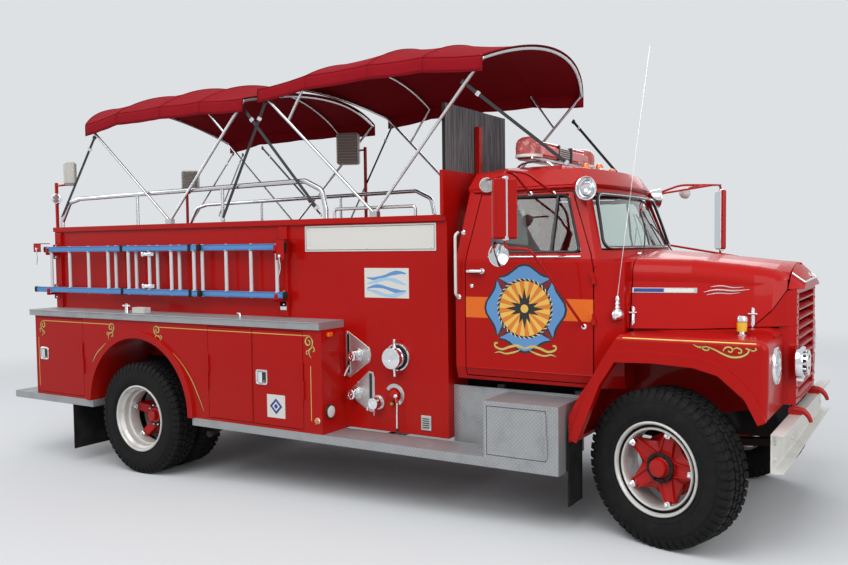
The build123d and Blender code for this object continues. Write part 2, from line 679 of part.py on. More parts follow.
# x, half width, top: the shoulders fill the space under the sloping front edge of the hood
SHOULDERS = ((418, 605, 1452), (520, 553, 1552), (600, 486, 1682), (GRILLE_X, 452, 1700))
with BuildPart() as grille_shell:
    for x, half_w in CHEEKS:
        with BuildSketch(Plane.YZ.offset(x)):
            with Locations((0, (GRILLE_Z0 + SHOULDER_Z + 3) / 2)):
                Rectangle(2 * half_w, SHOULDER_Z + 3 - GRILLE_Z0)
    loft(ruled=True)
    for x, half_w, z_top in SHOULDERS:
        with BuildSketch(Plane.YZ.offset(x)):
            with Locations((0, (SHOULDER_Z + z_top) / 2)):
                Rectangle(2 * half_w, z_top - SHOULDER_Z)
    loft(ruled=True)
    for x, half_w in ((449, 490), (530, 475), (GRILLE_X - 20, 430)):
        with BuildSketch(Plane.YZ.offset(x)):
            with Locations((0, (900 + SHOULDER_Z) / 2)):
                Rectangle(2 * half_w, SHOULDER_Z - 900)
    loft(ruled=True, mode=Mode.SUBTRACT)
    for x, half_w, z_top in ((417, 577, 1446), (520, 525, 1530), (600, 458, 1660), (GRILLE_X - 20, 430, 1672)):
        with BuildSketch(Plane.YZ.offset(x)):
            with Locations((0, (1436 + z_top) / 2)):
                Rectangle(2 * half_w, z_top - 1436)
    loft(ruled=True, mode=Mode.SUBTRACT)
    with BuildSketch(Plane.YZ.offset(GRILLE_X - 60)):
        with Locations((0, (GRILLE_Z0 + GRILLE_Z1) / 2 - 20)):
            Rectangle(2 * GRILLE_HALF_W - 30, GRILLE_Z1 - GRILLE_Z0 - 90)
    extrude(amount=100, mode=Mode.SUBTRACT)
    for i in range(11):
        with Locations(Location((GRILLE_X - 18, 0, GRILLE_Z0 + 45 + i * SLAT_PITCH), (0, 28, 0))):
            Box(46, 2 * GRILLE_HALF_W - 20, SLAT_T)
    for x, half_w, z_low, y_sh, z_sh, ridge in NOSE_SECTIONS:
        with BuildSketch(Plane.YZ.offset(x)):
            with BuildLine():
                Polyline((-y_sh, z_sh), (-half_w, z_low), (half_w, z_low), (y_sh, z_sh))
                ThreePointArc((y_sh, z_sh), (0, ridge), (-y_sh, z_sh))
            make_face()
    loft(ruled=True)
    hinge_line = Plane(
        origin=(COWL_FACE_X + 3.8, 0, HOOD_RIDGE_Z + 0.6), x_dir=(0, 1, 0), z_dir=(1, 0, -HOOD_SLOPE)
    )
    with BuildSketch(hinge_line):
        with Locations((0, -20)):
            Rectangle(HOOD_SPLIT - 2 * SEAT_GAP, 34)
    extrude(amount=(NOSE_SECTIONS[0][0] + 14 - COWL_FACE_X) * hypot(1, HOOD_SLOPE))
save(grille_shell.part, "grille_shell")

# Front bumper: a channel with tow hooks above it, on the rail ends
with BuildPart() as front_bumper:
    with BuildSketch(Plane.XZ.offset(-BUMPER_HALF_W)):
        with BuildLine():
            Polyline(
                (BUMPER_X, BUMPER_Z0), (BUMPER_X - BUMPER_DEPTH, BUMPER_Z0), (BUMPER_X - BUMPER_DEPTH, BUMPER_Z1),
                (BUMPER_X, BUMPER_Z1), (BUMPER_X, BUMPER_Z1 - BUMPER_T),
                (BUMPER_X - BUMPER_DEPTH + BUMPER_T, BUMPER_Z1 - BUMPER_T),
                (BUMPER_X - BUMPER_DEPTH + BUMPER_T, BUMPER_Z0 + BUMPER_T), (BUMPER_X, BUMPER_Z0 + BUMPER_T),
                close=True,
            )
        make_face()
    extrude(amount=2 * BUMPER_HALF_W)
    for side in (-1, 1):
        with Locations(((RAIL_FRONT_X + BUMPER_X - BUMPER_DEPTH + 5) / 2, side * (RAIL_Y - 38), 778)):
            Box(BUMPER_X - BUMPER_DEPTH + 5 - RAIL_FRONT_X, 60, 150)
        with BuildSketch(Plane.XZ.offset(-side * HOOK_Y - 18)):
            Polygon(
                (610, BUMPER_Z1), (680, BUMPER_Z1), (716, 850), (HOOK_TIP_X - 22, HOOK_TIP_Z - 12),
                (HOOK_TIP_X, HOOK_TIP_Z), (738, 872), (706, 916), (650, 926), (610, 905), align=None,
            )
        extrude(amount=36)
save(front_bumper.part, "front_bumper")

# Headlamps in the fenders, and the siren beside the grille
with BuildPart() as front_lamps:
    for side in (-1, 1):
        with Locations(Location((LAMP_X - 60, side * LAMP_Y, LAMP_Z), (0, 90, 0))):
            Cylinder(LAMP_R, 70, align=(Align.CENTER, Align.CENTER, Align.MIN))
    with Locations(Location((GRILLE_X + 0.3, -505, 1220), (0, 90, 0))):
        Cylinder(108, 60, align=(Align.CENTER, Align.CENTER, Align.MIN))
        Cylinder(82, 90, align=(Align.CENTER, Align.CENTER, Align.MIN))
save(front_lamps.part, "front_lamps")

# Upper body: open bed with floor, sides, rolled rail, tail opening and pump bay
DOORWAY_HALF_W = 350
with BuildPart() as body_box:
    with BuildSketch(Plane.XY.offset(LOCKER_TOP_Z)):
        with Locations(((BODY_REAR_X + BODY_FRONT_X) / 2, 0)):
            Rectangle(BODY_FRONT_X - BODY_REAR_X, 2 * BODY_HALF_W)
    extrude(amount=BODY_TOP_Z - LOCKER_TOP_Z)
    with BuildSketch(Plane.XY.offset(BED_FLOOR_Z)):
        with Locations(((BODY_REAR_X + BODY_FRONT_X) / 2, 0)):
            Rectangle(BODY_FRONT_X - BODY_REAR_X - 2 * BED_WALL, 2 * (BODY_HALF_W - BED_WALL))
    extrude(amount=BODY_TOP_Z - BED_FLOOR_Z, mode=Mode.SUBTRACT)
    with BuildSketch(Plane.YZ.offset(BODY_REAR_X - 50)):
        with Locations((0, (BED_FLOOR_Z + BODY_TOP_Z) / 2 + 50)):
            Rectangle(2 * DOORWAY_HALF_W, BODY_TOP_Z - BED_FLOOR_Z + 100)
    extrude(amount=200, mode=Mode.SUBTRACT)
    for side in (-1, 1):
        with BuildSketch(Plane.XZ.offset(-side * (BODY_HALF_W - 155) - 155)):
            with Locations(((PUMP_REAR_X + BODY_FRONT_X) / 2, (PUMP_BOTTOM_Z + LOCKER_TOP_Z) / 2)):
                Rectangle(BODY_FRONT_X - PUMP_REAR_X, LOCKER_TOP_Z - PUMP_BOTTOM_Z)
        extrude(amount=310)
        with Locations(((BODY_REAR_X + BODY_FRONT_X) / 2, side * (BODY_HALF_W - 6), BODY_TOP_Z - RAIL_TUBE / 2)):
            Box(BODY_FRONT_X - BODY_REAR_X, 56, RAIL_TUBE)
        for x in (-6345, -3308):
            with Locations((x, side * (BODY_HALF_W + 12), (1415 + 2180) / 2)):
                Box(90, 24, 2180 - 1415)
    with Locations((BODY_FRONT_X - 15, 0, (BODY_TOP_Z + BULKHEAD_Z) / 2)):
        Box(30, 1920, BULKHEAD_Z - BODY_TOP_Z)
save(body_box.part, "body_box")

# Water tank between the frame and the bed floor
with BuildPart() as water_tank:
    with Locations(((-6200 - 2900) / 2, 0, (RAIL_Z1 + LOCKER_TOP_Z) / 2)):
        Box(3300, 1160, LOCKER_TOP_Z - RAIL_Z1)
save(water_tank.part, "water_tank")

# Lockers either side of the rear wheel, hollow, with a wheel arch and flare
LOCKER_DOORS = (
    # name, rear x, front x, bottom z, hinge edge: 1 front, -1 rear
    ("rear", -6326, -5605, STEP_Z1 + 22, 1),
    ("mid", -3932, -3422, BOARD_Z1 + 22, -1),
    ("front", -3418, -2876, BOARD_Z1 + 22, 1),
)
DOOR_TOP_Z = 1332


def leaf_hinge_x(x0, x1, edge):
    return x1 - LEAF_GAP / 2 if edge > 0 else x0 + LEAF_GAP / 2


with BuildPart() as lockers:
    with BuildSketch(Plane.XZ.offset(LOCKER_INNER_Y)):
        Polygon(
            (LOCKER_REAR_X, STEP_Z1), (LOCKER_REAR_X, LOCKER_TOP_Z), (LOCKER_FRONT_X, LOCKER_TOP_Z),
            (LOCKER_FRONT_X, BOARD_Z1), (ARCH_X, BOARD_Z1), (ARCH_X, STEP_Z1), align=None,
        )
        with Locations((ARCH_X, ARCH_Z)):
            Circle(ARCH_R, mode=Mode.SUBTRACT)
        with Locations((ARCH_X, ARCH_Z - ARCH_R / 2)):
            Rectangle(2 * ARCH_R, ARCH_R, mode=Mode.SUBTRACT)
    extrude(amount=LOCKER_Y - LOCKER_INNER_Y)
    for x0, x1, z0 in (
        (LOCKER_REAR_X + LOCKER_WALL, ARCH_X - ARCH_R - LOCKER_WALL, STEP_Z1 + LOCKER_WALL),
        (ARCH_X + ARCH_R + LOCKER_WALL, LOCKER_FRONT_X - LOCKER_WALL, BOARD_Z1 + LOCKER_WALL),
    ):
        z1 = LOCKER_TOP_Z - LOCKER_WALL
        with Locations(((x0 + x1) / 2, -(LOCKER_Y + LOCKER_INNER_Y) / 2, (z0 + z1) / 2)):
            Box(x1 - x0, LOCKER_Y - LOCKER_INNER_Y - 2 * LOCKER_WALL, z1 - z0, mode=Mode.SUBTRACT)
    for name, x0, x1, z0, edge in LOCKER_DOORS:
        with Locations(((x0 + x1) / 2, -LOCKER_Y, (z0 + DOOR_TOP_Z) / 2)):
            Box(x1 - x0, 3 * LOCKER_WALL, DOOR_TOP_Z - z0, mode=Mode.SUBTRACT)
    for name, x0, x1, z0, edge in LOCKER_DOORS:
        z_mid = (z0 + DOOR_TOP_Z) / 2
        with Locations((leaf_hinge_x(x0, x1, edge), -LOCKER_Y - LEAF_HINGE_OFF, z_mid - LEAF_HINGE_H / 2)):
            Cylinder(LEAF_HINGE_R, LEAF_HINGE_H)
            with Locations((edge * 7, 2, 0)):
                Box(14, 16, LEAF_HINGE_H)
    with BuildSketch(Plane.XZ.offset(LOCKER_Y)):
        with Locations((ARCH_X, ARCH_Z)):
            Circle(ARCH_R + 62)
            Circle(ARCH_R, mode=Mode.SUBTRACT)
        with Locations((ARCH_X - ARCH_R, STEP_Z1 - ARCH_R)):
            Rectangle(2 * ARCH_R, 2 * ARCH_R, mode=Mode.SUBTRACT)
        with Locations((ARCH_X + ARCH_R, BOARD_Z1 - ARCH_R)):
            Rectangle(2 * ARCH_R, 2 * ARCH_R, mode=Mode.SUBTRACT)
    extrude(amount=26)
save(lockers.part, "lockers_right")
save(mirror(lockers.part, about=Plane.XZ), "lockers_left")

for name, x0, x1, z0, edge in LOCKER_DOORS:
    with BuildPart() as leaf:
        with Locations(((x0 + x1) / 2, -LOCKER_Y + LEAF_T / 2, (z0 + DOOR_TOP_Z) / 2)):
            Box(x1 - x0 - 2 * LEAF_GAP, LEAF_T, DOOR_TOP_Z - z0 - 2 * LEAF_GAP)
        z_mid = (z0 + DOOR_TOP_Z) / 2
        hinge_z = z_mid + SEAT_GAP + LEAF_HINGE_H / 2
        with Locations((leaf_hinge_x(x0, x1, edge), -LOCKER_Y - LEAF_HINGE_OFF, hinge_z)):
            Cylinder(LEAF_HINGE_R, LEAF_HINGE_H)
            with Locations((-edge * 7, 3, 0)):
                Box(14, 18, LEAF_HINGE_H)
    save(leaf.part, f"locker_door_{name}_right")
    save(mirror(leaf.part, about=Plane.XZ), f"locker_door_{name}_left")

# Tread-plate tops of the lockers, running boards, and rear step
with BuildPart() as tread_plates:
    for side in (-1, 1):
        with Locations(((-6412 - 2697) / 2, side * (BODY_HALF_W + 1237) / 2, LOCKER_TOP_Z + PLATE_T / 2)):
            Box(6412 - 2697, 1237 - BODY_HALF_W, PLATE_T)
        board_y = side * (LOCKER_Y + BODY_HALF_W) / 2
        with Locations(((BOARD_REAR_X + BOARD_FRONT_X) / 2, board_y, (BOARD_Z0 + BOARD_Z1) / 2)):
            Box(BOARD_FRONT_X - BOARD_REAR_X, LOCKER_Y - BODY_HALF_W, BOARD_Z1 - BOARD_Z0)
        for x in (-3950, -3100, -2300, -1500, -850):
            with Locations((x, side * (RAIL_Y + BODY_HALF_W) / 2, BOARD_Z0 + 25)):
                Box(60, BODY_HALF_W - RAIL_Y, 50)
            with Locations((x, side * (RAIL_Y + 15), (BOARD_Z0 + 900) / 2)):
                Box(60, 30, 900 - BOARD_Z0)
save(tread_plates.part, "tread_plates")
with BuildPart() as rear_step:
    with Locations(((STEP_REAR_X + LOCKER_REAR_X) / 2, 0, (STEP_Z0 + STEP_Z1) / 2)):
        Box(LOCKER_REAR_X - STEP_REAR_X, 2 * LOCKER_Y, STEP_Z1 - STEP_Z0)
    for side in (-1, 1):
        with Locations(((LOCKER_REAR_X + STEP_FRONT_X) / 2, side * (LOCKER_Y - 145), (STEP_Z0 + STEP_Z1) / 2)):
            Box(STEP_FRONT_X - LOCKER_REAR_X, 290, STEP_Z1 - STEP_Z0)
        with Locations((-6370, side * (RAIL_Y - 38), (STEP_Z1 + RAIL_Z0) / 2)):
            Box(60, 60, RAIL_Z0 - STEP_Z1)
save(rear_step.part, "rear_step")

# Tool box on the running board ahead of the pump panel
TOOL_DOOR_X0 = -1240
TOOL_DOOR_X1 = -790
TOOL_DOOR_Z0 = 536
TOOL_DOOR_Z1 = 884
TOOL_HINGE_X = TOOL_DOOR_X1 - LEAF_GAP / 2
TOOL_HINGE_Z = (TOOL_DOOR_Z0 + TOOL_DOOR_Z1) / 2
with BuildPart() as tool_box:
    box_x = (TOOL_BOX_REAR_X + BOARD_FRONT_X) / 2
    with Locations((box_x, -(LOCKER_Y + TOOL_BOX_BACK_Y) / 2, (BOARD_Z1 + TOOL_BOX_TOP_Z) / 2)):
        Box(BOARD_FRONT_X - TOOL_BOX_REAR_X, LOCKER_Y - TOOL_BOX_BACK_Y, TOOL_BOX_TOP_Z - BOARD_Z1)
        Box(
            BOARD_FRONT_X - TOOL_BOX_REAR_X - 32, LOCKER_Y - TOOL_BOX_BACK_Y - 64, TOOL_BOX_TOP_Z - BOARD_Z1 - 32,
            mode=Mode.SUBTRACT,
        )
    with Locations(((TOOL_DOOR_X0 + TOOL_DOOR_X1) / 2, -LOCKER_Y, (TOOL_DOOR_Z0 + TOOL_DOOR_Z1) / 2)):
        Box(TOOL_DOOR_X1 - TOOL_DOOR_X0, 80, TOOL_DOOR_Z1 - TOOL_DOOR_Z0, mode=Mode.SUBTRACT)
    with Locations(((-1715 + BOARD_FRONT_X) / 2, -TOOL_BOX_BACK_Y + 4, (BOARD_Z0 + 50 + 940) / 2)):
        Box(1715 + BOARD_FRONT_X, 8, 940 - BOARD_Z0 - 50)
    with Locations((TOOL_HINGE_X, -LOCKER_Y - LEAF_HINGE_OFF, TOOL_HINGE_Z - LEAF_HINGE_H / 2)):
        Cylinder(LEAF_HINGE_R, LEAF_HINGE_H)
        with Locations((7, 2, 0)):
            Box(14, 16, LEAF_HINGE_H)
with BuildPart() as tool_door:
    with Locations(((TOOL_DOOR_X0 + TOOL_DOOR_X1) / 2, -LOCKER_Y + LEAF_T / 2, (TOOL_DOOR_Z0 + TOOL_DOOR_Z1) / 2)):
        Box(TOOL_DOOR_X1 - TOOL_DOOR_X0 - 2 * LEAF_GAP, LEAF_T, TOOL_DOOR_Z1 - TOOL_DOOR_Z0 - 2 * LEAF_GAP)
    with Locations((TOOL_HINGE_X, -LOCKER_Y - LEAF_HINGE_OFF, TOOL_HINGE_Z + SEAT_GAP + LEAF_HINGE_H / 2)):
        Cylinder(LEAF_HINGE_R, LEAF_HINGE_H)
        with Locations((-7, 3, 0)):
            Box(14, 18, LEAF_HINGE_H)
save(tool_box.part, "tool_box_right")
save(mirror(tool_box.part, about=Plane.XZ), "tool_box_left")
save(tool_door.part, "tool_door_right")
save(mirror(tool_door.part, about=Plane.XZ), "tool_door_left")

# Pump fittings on both pump panels: valve plates, capped inlets with lugs, levers and the drain
VALVE_PLATES = (
    ((-2676, 1318), (-2652, 1318), (-2440, 1190), (-2428, 1130), (-2440, 1080), (-2640, 940), (-2676, 950)),
    (
        (-2452, 1004), (-2410, 996), (-2398, 950), (-2398, 700),
        (-2420, 672), (-2448, 676), (-2630, 782), (-2636, 840),
    ),
)
CAP_R = 84
CAP_SKIRT_Y0 = 60
CAP_SKIRT_Y1 = 110
FITTINGS = (
    # x, z, radius, inner and outer distance from the panel
    (-2171, 1133, 112, 0, 16), (-2171, 1133, 94, 16, 34),
    (-2171, 1133, CAP_R + 4, 34, CAP_SKIRT_Y0), (-2171, 1133, CAP_R, CAP_SKIRT_Y0, CAP_SKIRT_Y1),
    (-2560, 1126, 52, 6, 34), (-2560, 1126, 40, 34, 92), (-2574, 815, 52, 6, 34), (-2574, 815, 40, 34, 92),
    (-2359, 760, 58, 0, 40), (-2359, 760, 46, 40, 96), (-2205, 830, 88, 0, 12), (-2205, 830, 46, 12, 70),
)
LUGS = (
    # x, z, width, height, inner and outer distance: bars and levers
    (-2171, 1133, 34, 286, 36, CAP_SKIRT_Y0), (-2650, 1130, 26, 330, 6, 14), (-2436, 850, 26, 270, 6, 14),
    (-2640, 1000, 24, 150, 14, 44), (-2436, 715, 24, 130, 14, 44), (-2151, 700, 22, 250, 40, 66),
    (-2359, 690, 16, 60, 60, 84), (-1916, 635, 92, 118, 0, 12),
)
with BuildPart() as pump_fittings:
    for side in (-1, 1):
        for outline in VALVE_PLATES:
            with BuildSketch(Plane.XZ.offset(BODY_HALF_W if side < 0 else -BODY_HALF_W - 6)):
                Polygon(*outline, align=None)
            extrude(amount=6)
        for x, z, r, y0, y1 in FITTINGS:
            with Locations(Location((x, side * (BODY_HALF_W + (y0 + y1) / 2), z), (90, 0, 0))):
                Cylinder(r, y1 - y0)
        for x, z, wide, tall, y0, y1 in LUGS:
            with Locations((x, side * (BODY_HALF_W + (y0 + y1) / 2), z)):
                Box(wide, y1 - y0, tall)
save(pump_fittings.part, "pump_fittings")

# Silencer beside the right rail, and its tail pipe that leaves under the lockers
with BuildPart() as exhaust:
    with Locations(Location((-2400, -532, 620), (0, 90, 0))):
        Cylinder(60, 600)
    with BuildLine() as route:
        FilletPolyline(
            (-2680, -532, 620), (-4110, -532, 620), (-4168, -570, 430), (-4168, -1000, 325), radius=60,
        )
    with BuildSketch(Plane(origin=route.line @ 0, z_dir=route.line % 0)):
        Circle(32)
    sweep()
    for x in (-2600, -2200, -3600):
        with Locations((x, -(RAIL_Y + 0.3 + 560) / 2, 700)):
            Box(30, 560 - RAIL_Y - 0.3, 14)
        with Locations((x, -553, 660)):
            Box(30, 14, 94)
save(exhaust.part, "exhaust")

# Two-section ladder on the right side, and its rack
LADDER_LOW_Z = 1600
LADDER_HIGH_Z = 2010
LADDER_SECTIONS = (
    # y, lower rail x, upper rail x, first rung x, rungs
    (LADDER_Y, (-6620, -4200), (-6450, -4200), -6334, 8),
    (LADDER_Y - 37, (-5500, -3230), (-5500, -3230), -5387, 8),
)
with BuildPart() as ladder:
    for y, low, high, first, rungs in LADDER_SECTIONS:
        for z, (x0, x1) in ((LADDER_LOW_Z, low), (LADDER_HIGH_Z, high)):
            with Locations(((x0 + x1) / 2, -y, z)):
                Box(x1 - x0, LADDER_RAIL_W, LADDER_RAIL_H)
        for i in range(rungs):
            with Locations((first + i * RUNG_PITCH, -y, (LADDER_LOW_Z + LADDER_HIGH_Z) / 2)):
                Cylinder(RUNG_R, LADDER_HIGH_Z - LADDER_LOW_Z)
    for x in (-5250, -4330):
        for z in (LADDER_LOW_Z, LADDER_HIGH_Z):
            with Locations((x, -LADDER_Y + 18, z)):
                Box(44, 50, 40)
save(ladder.part, "ladder")
with BuildPart() as ladder_rack:
    for x, z in ((-6372, LADDER_LOW_Z), (-3300, LADDER_LOW_Z), (-6372, LADDER_HIGH_Z), (-3300, LADDER_HIGH_Z)):
        y_in = BODY_HALF_W + 24
        y_out = LADDER_Y + RUNG_R + 14
        under = z - LADDER_RAIL_H / 2
        with Locations((x, -(y_in + y_out) / 2, under - 12)):
            Box(30, y_out - y_in, 24)
        with Locations((x, -y_out + 6, under + 12)):
            Box(30, 12, 48)
save(ladder_rack.part, "ladder_rack")

# Wooden wind board standing on the bulkhead behind the cab
with BuildPart() as wind_board:
    with Locations((BODY_FRONT_X - 15, -410, (BULKHEAD_Z + 3070) / 2)):
        Box(28, 1020, 3070 - BULKHEAD_Z)
save(wind_board.part, "wind_board")

# Benches along both sides of the bed
with BuildPart() as seats:
    add(cab_seat.part)
    for side in (-1, 1):
        with BuildSketch(Plane.YZ.offset(-6297)):
            Polygon(
                (side * 430, BED_FLOOR_Z), (side * 430, 1800), (side * 820, 1780), (side * 850, 2185),
                (side * 880, 2185), (side * 880, BED_FLOOR_Z), align=None,
            )
        extrude(amount=3391)
save(seats.part, "seats")

# Handrails on the body sides
with BuildPart() as handrails:
    for side in (-1, 1):
        y = side * 880
        with BuildLine() as route:
            FilletPolyline(
                (-6330, y, BODY_TOP_Z), (-6330, y, BODY_TOP_Z + 60), (-6202, y, 2486), (-6039, y, 2521),
                (-3099, y, 2558), (-2921, y, 2475), (-2884, y, BODY_TOP_Z + 80), (-2884, y, BODY_TOP_Z),
                radius=(30, 70, 70, 70, 70, 30),
            )
        with BuildSketch(Plane(origin=route.line @ 0, z_dir=route.line % 0)):
            Circle(PIPE_R)
        sweep()
        for x, top in ((-5177, 2530), (-4050, 2545)):
            with Locations((x, y, (BODY_TOP_Z + top) / 2)):
                Cylinder(16, top - BODY_TOP_Z)
        with BuildLine() as low_route:
            FilletPolyline(
                (-2798, side * 875, BODY_TOP_Z), (-2798, side * 875, 2312), (-2016, side * 875, 2312),
                (-2016, side * 875, BODY_TOP_Z), radius=24,
            )
        with BuildSketch(Plane(origin=low_route.line @ 0, z_dir=low_route.line % 0)):
            Circle(13)
        sweep()
save(handrails.part, "handrails")

# Loudspeakers on posts
with BuildPart() as speakers:
    for x, y, z0, z1, spk_x, spk_z in (
        (-6392, -896, BODY_TOP_Z, 2680, -6210, 2785),
        (-6392, 896, BODY_TOP_Z, 2680, -6210, 2785),
        (-3750, 920, BODY_TOP_Z, 3160, -3925, 3035),
    ):
        with Locations((x, y, (z0 + z1) / 2)):
            Box(28, 26, z1 - z0)
        inward = 0 if x < -6000 else 103
        with Locations((spk_x, y - inward, spk_z)):
            Box(364 if x < -6000 else 322, 180, 240)
save(speakers.part, "speakers")

# Canopy bows: each hoop lies in its own leaning plane through its pivots on the side rails
BOWS = (
    # foot x, corner x, corner z, crown z
    (-4705, -5754, 3227, 3515), (-4705, -3688, 3270, 3400),
    (-2377, -3491, 3328, 3470), (-2377, -1372, 3349, 3535),
)
INNER_HOOPS = (
    # x, corner z, crown z, then where its branch leaves a main bow: x, z, and how far out
    (-4193, 3290, 3550, -3939, 3021, 954),
    (-2980, 3380, 3600, -3206, 3055, 953), (-1864, 3390, 3620, -1628, 3072, 953),
)
BOW_W = CANOPY_HALF_W - 30
FOOT_Z = BODY_TOP_Z + 24


def bow_plane(x_foot, x_top, z_top):
    lean = (x_top - x_foot) / (z_top - FOOT_Z)
    return Plane(origin=(x_foot, 0, FOOT_Z), x_dir=(0, 1, 0), z_dir=(1, 0, -lean)), hypot(1, lean)


with BuildPart() as canopy_frames:
    for x_foot, x_top, z_top, z_crown in BOWS:
        plane, stretch = bow_plane(x_foot, x_top, z_top)
        high = (z_top - FOOT_Z) * stretch
        peak = (z_crown - FOOT_Z) * stretch
        for side in (-1, 1):
            foot = plane.from_local_coords((side * BOW_FOOT_Y, 0, 0))
            corner = plane.from_local_coords((side * BOW_W, high, 0))
            with BuildLine() as route:
                Line(foot, corner)
            with BuildSketch(Plane(origin=route.line @ 0, z_dir=route.line % 0)):
                Circle(BOW_R)
            sweep()
            with Locations(corner):
                Sphere(BOW_R + 3)
        with BuildLine(plane) as route:
            ThreePointArc((-BOW_W, high), (0, peak), (BOW_W, high))
        with BuildSketch(Plane(origin=route.line @ 0, z_dir=route.line % 0)):
            Circle(BOW_R)
        sweep()
    for x, z_corner, z_crown, x_leg, z_leg, y_leg in INNER_HOOPS:
        with BuildLine(Plane.YZ.offset(x)) as hoop:
            ThreePointArc((-BOW_W, z_corner), (0, z_crown), (BOW_W, z_corner))
        with BuildSketch(Plane(origin=hoop.line @ 0, z_dir=hoop.line % 0)):
            Circle(BOW_R - 2)
        sweep()
        for side in (-1, 1):
            with BuildLine() as branch:
                Line((x_leg, side * y_leg, z_leg), (x, side * BOW_W, z_corner))
            with BuildSketch(Plane(origin=branch.line @ 0, z_dir=branch.line % 0)):
                Circle(BOW_R - 2)
            sweep()
            with Locations((x, side * BOW_W, z_corner)):
                Sphere(BOW_R)
    for x_foot in (-4705, -2377):
        for side in (-1, 1):
            with Locations((x_foot, side * BOW_FOOT_Y, BODY_TOP_Z)):
                Box(70, 50, 44, align=(Align.CENTER, Align.CENTER, Align.MIN))
save(canopy_frames.part, "canopy_frames")

# Canopies: fabric stretched over the bows, with short side hems
REAR_CANOPY = (
    # foot x, corner x, corner z, crown z: a plane upright where foot and corner agree
    (-4705, -5754, 3227, 3515), (-5300, -5300, 3290, 3560), (-4700, -4700, 3295, 3575),
    (-4193, -4193, 3290, 3550), (-4705, -3688, 3270, 3400),
)
FRONT_CANOPY = (
    (-2377, -3491, 3328, 3470), (-2980, -2980, 3380, 3600), (-2370, -2370, 3396, 3660),
    (-1864, -1864, 3390, 3620), (-2377, -1372, 3349, 3535),
)
for label, table, slack in (("canopy_rear", REAR_CANOPY, 3.2), ("canopy_front", FRONT_CANOPY, 2.4)):
    with BuildPart() as canopy:
        for x_foot, x_top, z_top, z_crown in table:
            plane, stretch = bow_plane(x_foot, x_top, z_top)
            high = (z_top - FOOT_Z) * stretch
            peak = (z_crown - FOOT_Z) * stretch
            rise = peak - high
            bow_r = (BOW_W ** 2 + rise ** 2) / (2 * rise)
            lift = BOW_R * stretch + slack
            w = BOW_W + BOW_R + slack + 1
            t = CANOPY_T
            edge = peak - bow_r + sqrt((bow_r + lift) ** 2 - w ** 2)
            rim = peak - bow_r + sqrt((bow_r + lift + t) ** 2 - (w + t) ** 2)
            with BuildSketch(plane):
                with BuildLine():
                    Line((-w, edge - HEM_DROP), (-w, edge))
                    ThreePointArc((-w, edge), (0, peak + lift), (w, edge))
                    Line((w, edge), (w, edge - HEM_DROP))
                    Line((w, edge - HEM_DROP), (w + t, edge - HEM_DROP))
                    Line((w + t, edge - HEM_DROP), (w + t, rim))
                    ThreePointArc((w + t, rim), (0, peak + lift + t), (-w - t, rim))
                    Line((-w - t, rim), (-w - t, edge - HEM_DROP))
                    Line((-w - t, edge - HEM_DROP), (-w, edge - HEM_DROP))
                make_face()
        loft(ruled=True)
    save(canopy.part, label)

# Light bar on the cab roof
with BuildPart() as light_bar:
    with Locations((-1200, 0, 2660)):
        Box(180, 1300, 50)
    for y in (-560, 560):
        with Locations((-1200, y, 2750)):
            Cylinder(105, 130)
    with Locations((-1200, 0, 2735)):
        Box(150, 800, 100)
    for y in (-450, 450):
        with Locations((-1200, y, (CAB_ROOF_Z + 2636) / 2)):
            Box(60, 60, 2636 - CAB_ROOF_Z)
save(light_bar.part, "light_bar")

# Mirrors on the doors, each on feet against the door skin
def skin_y(z):
    if z < CAB_BELT_Z:
        return CAB_HALF_W
    share = (z - CAB_BELT_Z - 20) / (CAB_GUTTER_Z - CAB_BELT_Z - 20)
    return CAB_HALF_W - 8 + share * (CAB_ROOF_HALF_W - CAB_HALF_W + 8)


MIRROR_Y = 1350
MIRRORS = (
    # name, side, mirror x, mirror z, height, feet (x, z), where their arms meet the mirror (x, z)
    ("right", -1, -1021, 2245, 415, ((-915, 2365), (-624, 1437)), ((-1021, 2440), (-1021, 2050))),
    ("left", 1, -223, 2200, 533, ((-800, 2365), (-650, 2001)), ((-223, 2400), (-223, 2001))),
)
for name, side, x_m, z_m, tall, feet, ends in MIRRORS:
    with BuildPart() as mirror_arm:
        for (x0, z0), (x1, z1) in zip(feet, ends):
            foot_y = skin_y(z0 - 10) + 0.3
            with Locations((x0, side * (foot_y + 6), z0)):
                Box(40, 12, 20)
            with BuildLine() as route:
                Line((x0, side * (foot_y + 8), z0), (x1, side * (MIRROR_Y - 60), z1))
            with BuildSketch(Plane(origin=route.line @ 0, z_dir=route.line % 0)):
                Circle(8)
            sweep()
        with Locations((x_m, side * MIRROR_Y, z_m)):
            Box(60, 200, tall)
    save(mirror_arm.part, f"mirror_{name}")

# Mud flaps behind the front and rear wheels
with BuildPart() as mud_flaps:
    for side in (-1, 1):
        with Locations((-678, side * 975, 470)):
            Box(10, 250, 508)
        with Locations((-5790, side * 1000, 270)):
            Box(10, 430, 440)
save(mud_flaps.part, "mud_flaps")
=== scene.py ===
from math import atan2, ceil, cos, hypot, pi, radians, sin, sqrt, tau

import bpy
from mathutils import Matrix, Vector


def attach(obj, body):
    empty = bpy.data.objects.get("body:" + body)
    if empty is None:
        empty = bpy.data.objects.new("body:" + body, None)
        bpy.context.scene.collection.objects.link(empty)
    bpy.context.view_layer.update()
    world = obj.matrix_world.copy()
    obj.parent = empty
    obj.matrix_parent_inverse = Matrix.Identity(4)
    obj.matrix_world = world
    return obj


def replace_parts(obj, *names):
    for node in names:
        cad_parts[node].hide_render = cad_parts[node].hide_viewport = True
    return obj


bl_info = {
    "name": "Fire engine",
    "version": (1, 0, 0),
    "blender": (4, 5, 0),
    "location": "3D View > Sidebar > Fire engine",
    "description": "Dresses the fire engine: paint, tread plate, canvas, tyres, lamps and trim",
    "category": "Object",
}

